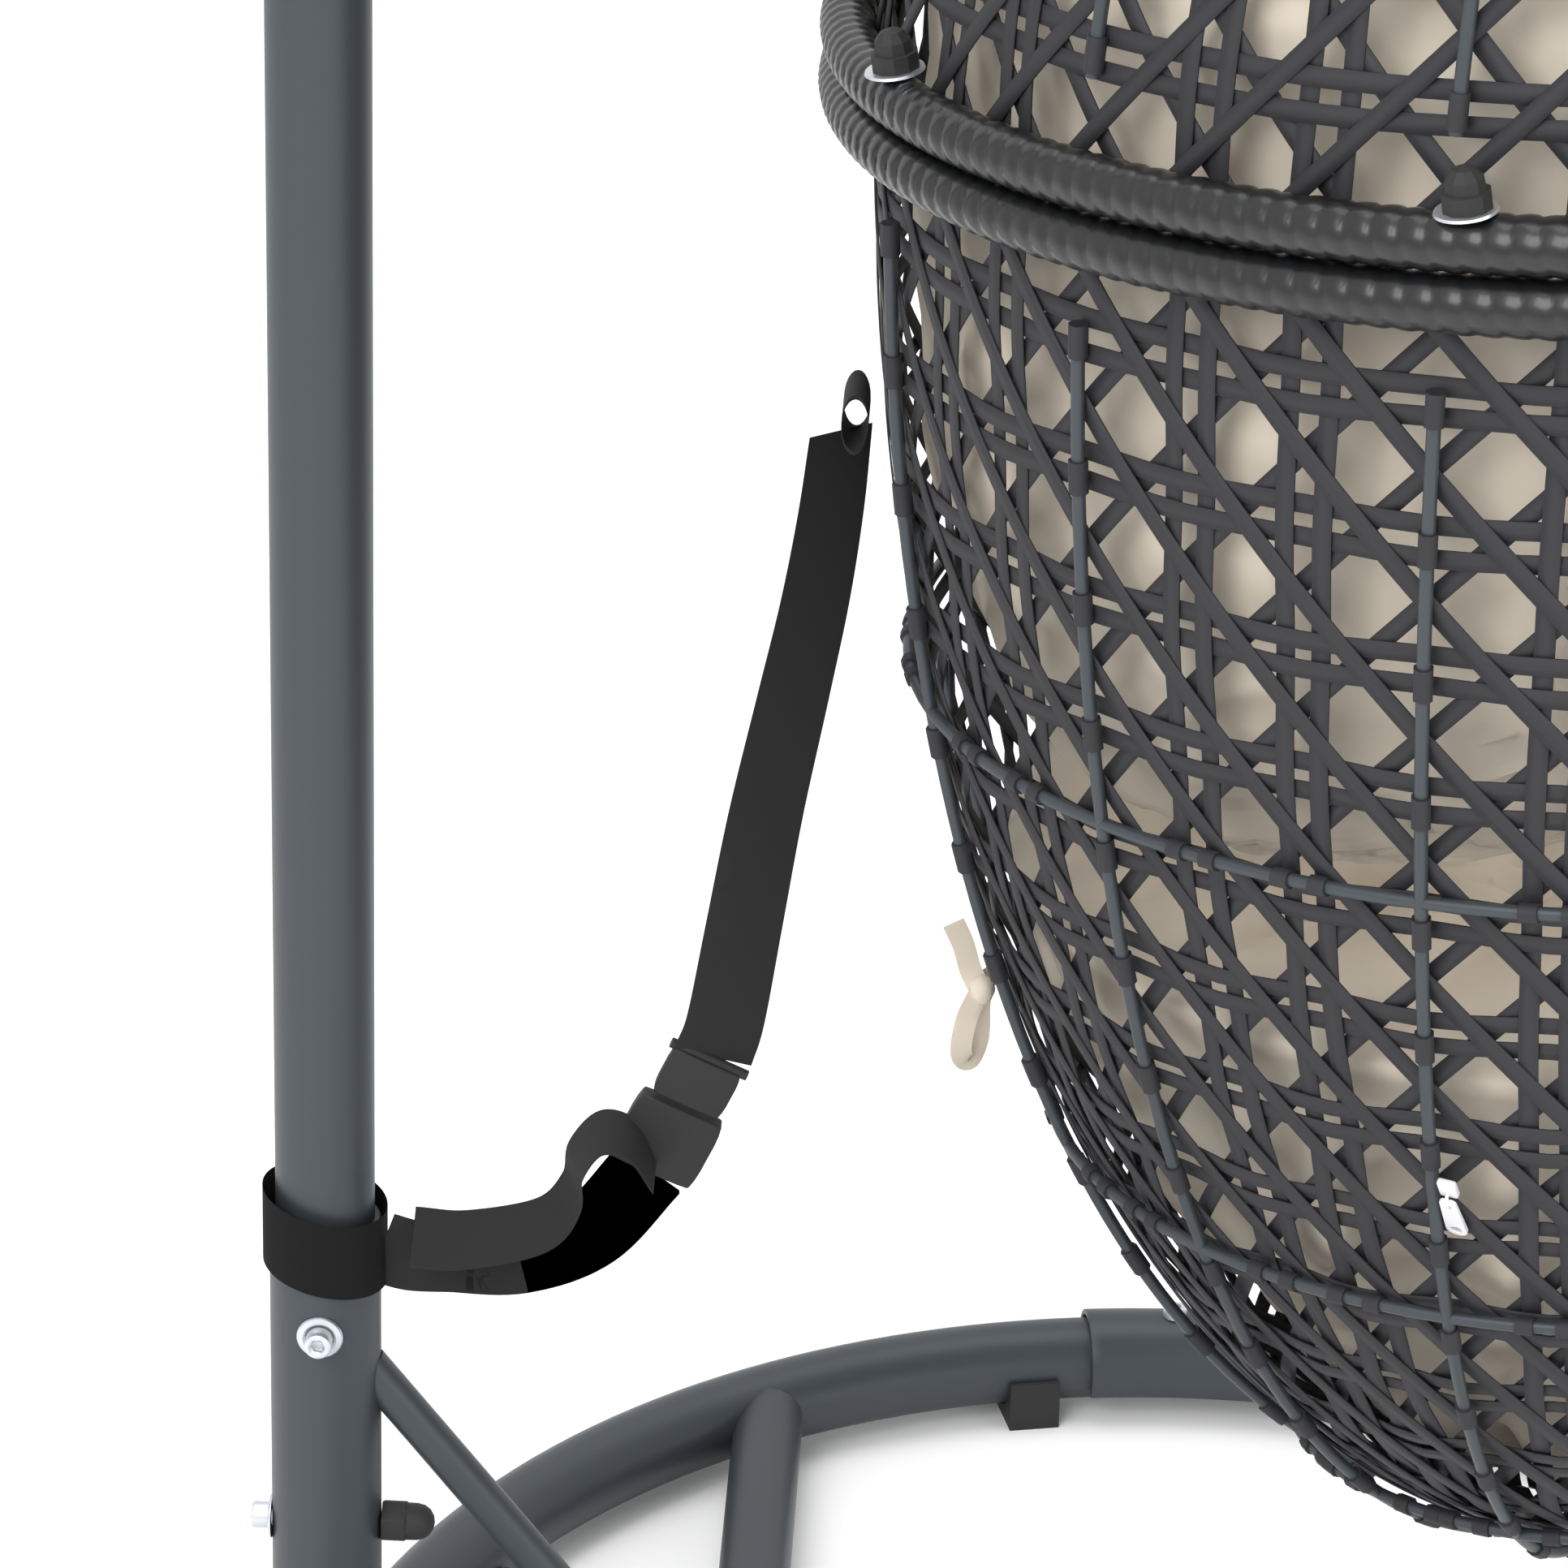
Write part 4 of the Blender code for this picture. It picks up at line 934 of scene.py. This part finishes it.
class EGGCHAIR_OT_strap(bpy.types.Operator):
    """Lay the safety strap and fit its buckle"""

    bl_idname = "eggchair.strap"
    bl_label = "Safety Strap"

    def execute(self, context):
        half = context.scene.egg_chair.strap_width / 2
        radius = 0.0302
        turns = arc(73, math.radians(0), math.radians(360))
        cuff = [at(radius * math.cos(a), radius * math.sin(a), 0.345 - 0.006 * math.cos(a)) for a in turns]
        settle(ribbon("strap_cuff_band", cuff, [UP * half] * len(cuff), 0.0022), "webbing", "stand",
               "strap_cuff")
        low = through([at(0.028, -0.006, 0.340), at(0.043, -0.004, 0.335), at(0.060, 0, 0.333),
                       at(0.094, 0, 0.334), at(0.128, 0, 0.350), at(0.156, 0, 0.386)], 10)
        settle(ribbon("strap_lower_band", low, across(low, 0.0, 0.0, half), 0.0020), "webbing", "stand",
               "strap_lower")
        front = -0.0160
        tail = through([at(0.160, front + 0.003, 0.392), at(0.150, front, 0.410), at(0.134, front, 0.414),
                        at(0.122, front, 0.398), at(0.120, front, 0.380), at(0.106, front, 0.362),
                        at(0.070, front, 0.352), at(0.044, front, 0.352)], 8)
        sides = across(tail, 1.50, 0.95, half * 0.82)
        settle(ribbon("strap_tail_band", tail, sides, 0.0018), "webbing", "stand", "strap_tail")
        self.upper(half)
        self.buckle()
        return {"FINISHED"}

    def upper(self, half):
        """Three lengths, one for each joint from the stand to the basket, and the loop at their top."""
        line = through([at(0.1860, 0, 0.450), at(0.1915, 0, 0.470), at(0.199, 0, 0.520), at(0.208, 0, 0.580),
                        at(0.219, 0, 0.640), at(0.228, 0, 0.690), at(0.234, 0, 0.735),
                        at(0.2375, 0, 0.775)], 12)
        widths = across(line, 0.15, 0.75, half)
        thirds = len(line) // 3
        spans = ((0, thirds, "stand", "shackle"), (thirds, 2 * thirds, "shackle", "swivel"),
                 (2 * thirds, len(line) - 1, "swivel", "basket"))
        for number, (first, last, before, after) in enumerate(spans):
            points, sides = line[first:last + 1], widths[first:last + 1]
            band = ribbon(f"strap_upper_band_{number}", points, sides, 0.0020)
            bpy.context.scene.collection.objects.link(band)
            band.data.materials.append(bpy.data.materials["webbing"])
            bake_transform(band)
            if number == 0:
                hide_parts("strap_upper")
        loop = [at(0.2440 + 0.0062 * math.cos(a), 0.004 * math.sin(a), 0.785 + 0.012 * math.sin(a))
                for a in arc(25, 0, 2 * math.pi)]
        flat = Vector((half * 0.8, 0, 0))
        settle(ribbon("strap_loop", loop, [flat] * len(loop), 0.0020), "webbing", "basket")

    def buckle(self):
        line = (at(0.1880, 0, 0.458) - at(0.1530, 0, 0.380)).normalized()
        flat = Vector((1, 0, 0))
        turn = Matrix((flat, line.cross(flat), line)).transposed().to_4x4()
        middle = at(0.1705, 0, 0.4170)
        halves = (("buckle_housing", (0.011, 0.044, 0.038), -0.015, "buckle_socket"),
                  ("buckle_fork", (0.0085, 0.036, 0.026), 0.0195, "buckle_tongue"))
        for name, size, shift, node in halves:
            form = bmesh.new()
            bmesh.ops.create_cube(form, size=1.0, matrix=Matrix.Diagonal((*size, 1)))
            bmesh.ops.subdivide_edges(form, edges=form.edges[:], cuts=6, use_grid_fill=True)
            for vert in form.verts:
                share = vert.co.z / size[2]
                vert.co.y *= 1 - 0.18 * max(0.0, abs(share) * 2 - 0.4) ** 2
                vert.co.x *= 1 - 0.30 * (vert.co.y / size[1] * 2) ** 4
            place = Matrix.Translation(middle + line * shift) @ turn
            bmesh.ops.transform(form, matrix=place, verts=form.verts)
            obj = smooth_mesh(name, form, 30)
            edge = obj.modifiers.new("edges", "BEVEL")
            edge.width = 0.0010
            edge.segments = 2
            settle(obj, "black_plastic", "stand", node)
        ladder = []
        for step in (-0.032, 0.033):
            bar = middle + line * step
            wide = line.cross(flat) * 0.020
            ladder.append([bar - wide, bar + wide])
        settle(rods("buckle_bars", ladder, 0.0026, resolution=3), "black_plastic", "stand")


class EGGCHAIR_OT_trim(bpy.types.Operator):
    """Make the zip slider, its pull, the tape bow and the rim nuts' washers"""

    bl_idname = "eggchair.trim"
    bl_label = "Trim"

    def execute(self, context):
        joint = next(j for j in frame["record"]["behaviour"]["joints"] if j["name"] == "pull_flap")
        hinge = Vector(joint["pos_m"])
        sideways = Vector(joint["axis"]).normalized()
        middle = middle_of("zip_pull")
        down = (middle - hinge).normalized()
        outward = sideways.cross(down).normalized()
        self.pull(hinge, down, sideways, outward)
        self.slider(hinge, down, sideways, outward)
        self.bow()
        self.nut_washers()
        return {"FINISHED"}

    def pull(self, hinge, down, sideways, outward):
        curve = bpy.data.curves.new("zip_pull_plate", "CURVE")
        curve.dimensions = "2D"
        curve.fill_mode = "BOTH"
        curve.extrude = 0.0007
        curve.bevel_depth = 0.0003
        outline = [(0.0046 * math.cos(a), 0.0262 + 0.0046 * math.sin(a)) for a in arc(17, 0, math.pi)]
        outline += [(-0.0034, 0.0), (-0.0024, -0.0012), (0.0024, -0.0012), (0.0034, 0.0)]
        hole = [(0.0028 * math.cos(a), 0.0255 + 0.0028 * math.sin(a)) for a in arc(25, 0, 2 * math.pi)[:-1]]
        slot_hole = [(-0.0014, 0.0008), (0.0014, 0.0008), (0.0014, 0.0050), (-0.0014, 0.0050)]
        for points in (outline, hole, slot_hole):
            spline = curve.splines.new("POLY")
            spline.points.add(len(points) - 1)
            for target, (x, y) in zip(spline.points, points):
                target.co = (x, y, 0, 1)
            spline.use_cyclic_u = True
        obj = to_mesh(bpy.data.objects.new("zip_pull_plate", curve))
        basis = Matrix((sideways, down, outward)).transposed().to_4x4()
        obj.data.transform(Matrix.Translation(hinge) @ basis)
        settle(obj, "white_enamel", "pull", "zip_pull")

    def slider(self, hinge, down, sideways, outward):
        form = bmesh.new()
        bmesh.ops.create_cube(form, size=1.0, matrix=Matrix.Diagonal((0.0085, 0.0120, 0.0036, 1)))
        bmesh.ops.bevel(form, geom=form.edges[:], offset=0.0012, segments=3, profile=0.5, affect="EDGES",
                        material=-1)
        basis = Matrix((sideways, down, outward)).transposed().to_4x4()
        spot = middle_of("zip_slider")
        bmesh.ops.transform(form, matrix=Matrix.Translation(spot) @ basis, verts=form.verts)
        settle(smooth_mesh("zip_slider_body", form, 40), "white_enamel", "basket", "zip_slider")
        bail = [hinge - outward * 0.0030 + down * (0.0045 * math.cos(a)) + outward * (0.0042 * math.sin(a))
                for a in arc(13, 0, math.pi)]
        settle(rods("zip_bail", [bail], 0.0008, resolution=3), "white_enamel", "basket")

    def bow(self):
        middle = middle_of("tape_bow")
        outward = Vector((0, 1, 0))
        tape = 0.0052
        shapes = {
            "tape_loop": [(0, 0, 0), (-0.004, 0.006, -0.014), (-0.002, 0.008, -0.032), (0.004, 0.004, -0.040),
                          (0.008, 0.000, -0.030), (0.004, 0.000, -0.012), (0, 0, 0)],
            "tape_end_high": [(0, 0, 0), (0.001, 0.005, 0.010), (0.0, 0.009, 0.024), (-0.002, 0.014, 0.036)],
            "tape_end_low": [(0, 0, 0), (0.006, -0.004, 0.004), (0.010, -0.014, 0.008)],
        }
        for number, (name, route) in enumerate(shapes.items()):
            line = through([middle + outward * 0.002 + Vector(p) for p in route], 8)
            widths = []
            for i in range(len(line)):
                ahead = line[min(i + 1, len(line) - 1)] - line[max(i - 1, 0)]
                widths.append(ahead.cross(Vector((1, 0.2, 0))).normalized() * tape)
            obj = ribbon(name, line, widths, 0.0008)
            settle(obj, "cushion_cloth", "basket", *(["tape_bow"] if number == 0 else []))
        knot = bmesh.new()
        bmesh.ops.create_icosphere(knot, subdivisions=3, radius=1,
                                   matrix=Matrix.Translation(middle + outward * 0.001)
                                   @ Matrix.Diagonal((0.0055, 0.0060, 0.0075, 1)))
        for vert in knot.verts:
            vert.co += Vector((0, 0.0010, 0)) * noise.noise(vert.co * 260)
        settle(smooth_mesh("tape_knot", knot, 180), "cushion_cloth", "basket")

    def nut_washers(self):
        for side in ("left", "right"):
            for label in ("side", "back"):
                low, high = (Vector(corner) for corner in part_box(f"rim_nut_{label}_{side}"))
                spot = Vector(((low.x + high.x) / 2, (low.y + high.y) / 2, low.z + 0.0016))
                washer = [(0.004, 0.0012), (0.0128, 0.0012), (0.0132, 0.0), (0.004, 0.0), (0.004, 0.0012)]
                place = along((0, TILT, 1), spot)
                settle(turned_piece(f"rim_washer_{label}_{side}", washer, place, 32), "zinc", "basket")


class EGGCHAIR_OT_studio(bpy.types.Operator):
    """Set up the pale floor, the soft lights and the camera"""

    bl_idname = "eggchair.studio"
    bl_label = "Studio"

    def execute(self, context):
        scene = context.scene
        world = bpy.data.worlds.new("studio")
        scene.world = world
        world.use_nodes = True
        world.node_tree.nodes["Background"].inputs["Color"].default_value = (1, 1, 1, 1)
        world.node_tree.nodes["Background"].inputs["Strength"].default_value = 1.0
        scene.view_settings.view_transform = "Standard"
        floor_form = bmesh.new()
        bmesh.ops.create_circle(floor_form, cap_ends=True, segments=96, radius=14)
        floor = smooth_mesh("floor", floor_form)
        material = bpy.data.materials.new("floor_paper")
        material.use_nodes = True
        paper = material.node_tree.nodes["Principled BSDF"]
        paper.inputs["Base Color"].default_value = (0.93, 0.93, 0.93, 1)
        paper.inputs["Roughness"].default_value = 0.9
        floor.data.materials.append(material)
        scene.collection.objects.link(floor)
        for name, spot, size, power in (("key", Vector((-2.6, 1.6, 3.2)), 2.4, 95),
                                        ("fill", Vector((-2.2, -2.6, 2.2)), 2.8, 60),
                                        ("top", Vector((0.6, 0.2, 4.2)), 3.0, 60)):
            light = bpy.data.lights.new(name, "AREA")
            light.shape = "SQUARE"
            light.size = size
            light.energy = power
            lamp = bpy.data.objects.new(name, light)
            aim = Vector((0, 0, 0.9)) - spot
            lamp.location = spot
            lamp.rotation_euler = aim.to_track_quat("-Z", "Y").to_euler()
            scene.collection.objects.link(lamp)
        self.camera(scene)
        return {"FINISHED"}

    def camera(self, scene):
        heading, pitch, roll = 0.0340, 0.4569, -0.0278
        level = Vector((math.cos(heading), math.sin(heading), 0))
        right = Vector((math.sin(heading), -math.cos(heading), 0))
        ahead = level * math.cos(pitch) - UP * math.sin(pitch)
        below = -level * math.sin(pitch) - UP * math.cos(pitch)
        across_view = right * math.cos(roll) + below * math.sin(roll)
        down = below * math.cos(roll) - right * math.sin(roll)
        camera = bpy.data.cameras.new("camera")
        camera.lens = 154.74
        camera.sensor_width = 36
        camera.clip_end = 50
        eye = bpy.data.objects.new("camera", camera)
        turn = Matrix((across_view, -down, -ahead)).transposed().to_4x4()
        eye.matrix_world = Matrix.Translation((-2.8198, POST_Y - 0.3119, 1.9816)) @ turn
        scene.collection.objects.link(eye)
        scene.camera = eye


OPERATORS = (EGGCHAIR_OT_finishes, EGGCHAIR_OT_studio, EGGCHAIR_OT_stand, EGGCHAIR_OT_bolts,
             EGGCHAIR_OT_hanger, EGGCHAIR_OT_basket_frame, EGGCHAIR_OT_weave, EGGCHAIR_OT_rims,
             EGGCHAIR_OT_cushions, EGGCHAIR_OT_strap, EGGCHAIR_OT_trim)


class EGGCHAIR_PT_panel(bpy.types.Panel):
    """Lists the chair's settings and its build steps"""

    bl_label = "Egg Chair"
    bl_idname = "EGGCHAIR_PT_panel"
    bl_space_type = "VIEW_3D"
    bl_region_type = "UI"
    bl_category = "Egg Chair"

    def draw(self, context):
        given = context.scene.egg_chair
        for label in EggChairSettings.__annotations__:
            self.layout.prop(given, label)
        for operator in OPERATORS:
            self.layout.operator(operator.bl_idname)


CLASSES = (EggChairSettings, *OPERATORS, EGGCHAIR_PT_panel)


def register():
    for item in CLASSES:
        bpy.utils.register_class(item)
    bpy.types.Scene.egg_chair = PointerProperty(type=EggChairSettings)


def unregister():
    del bpy.types.Scene.egg_chair
    for item in reversed(CLASSES):
        bpy.utils.unregister_class(item)


def main():
    register()
    for operator in OPERATORS:
        family, name = operator.bl_idname.split(".")
        getattr(getattr(bpy.ops, family), name)()


if __name__ == "__main__":
    main()
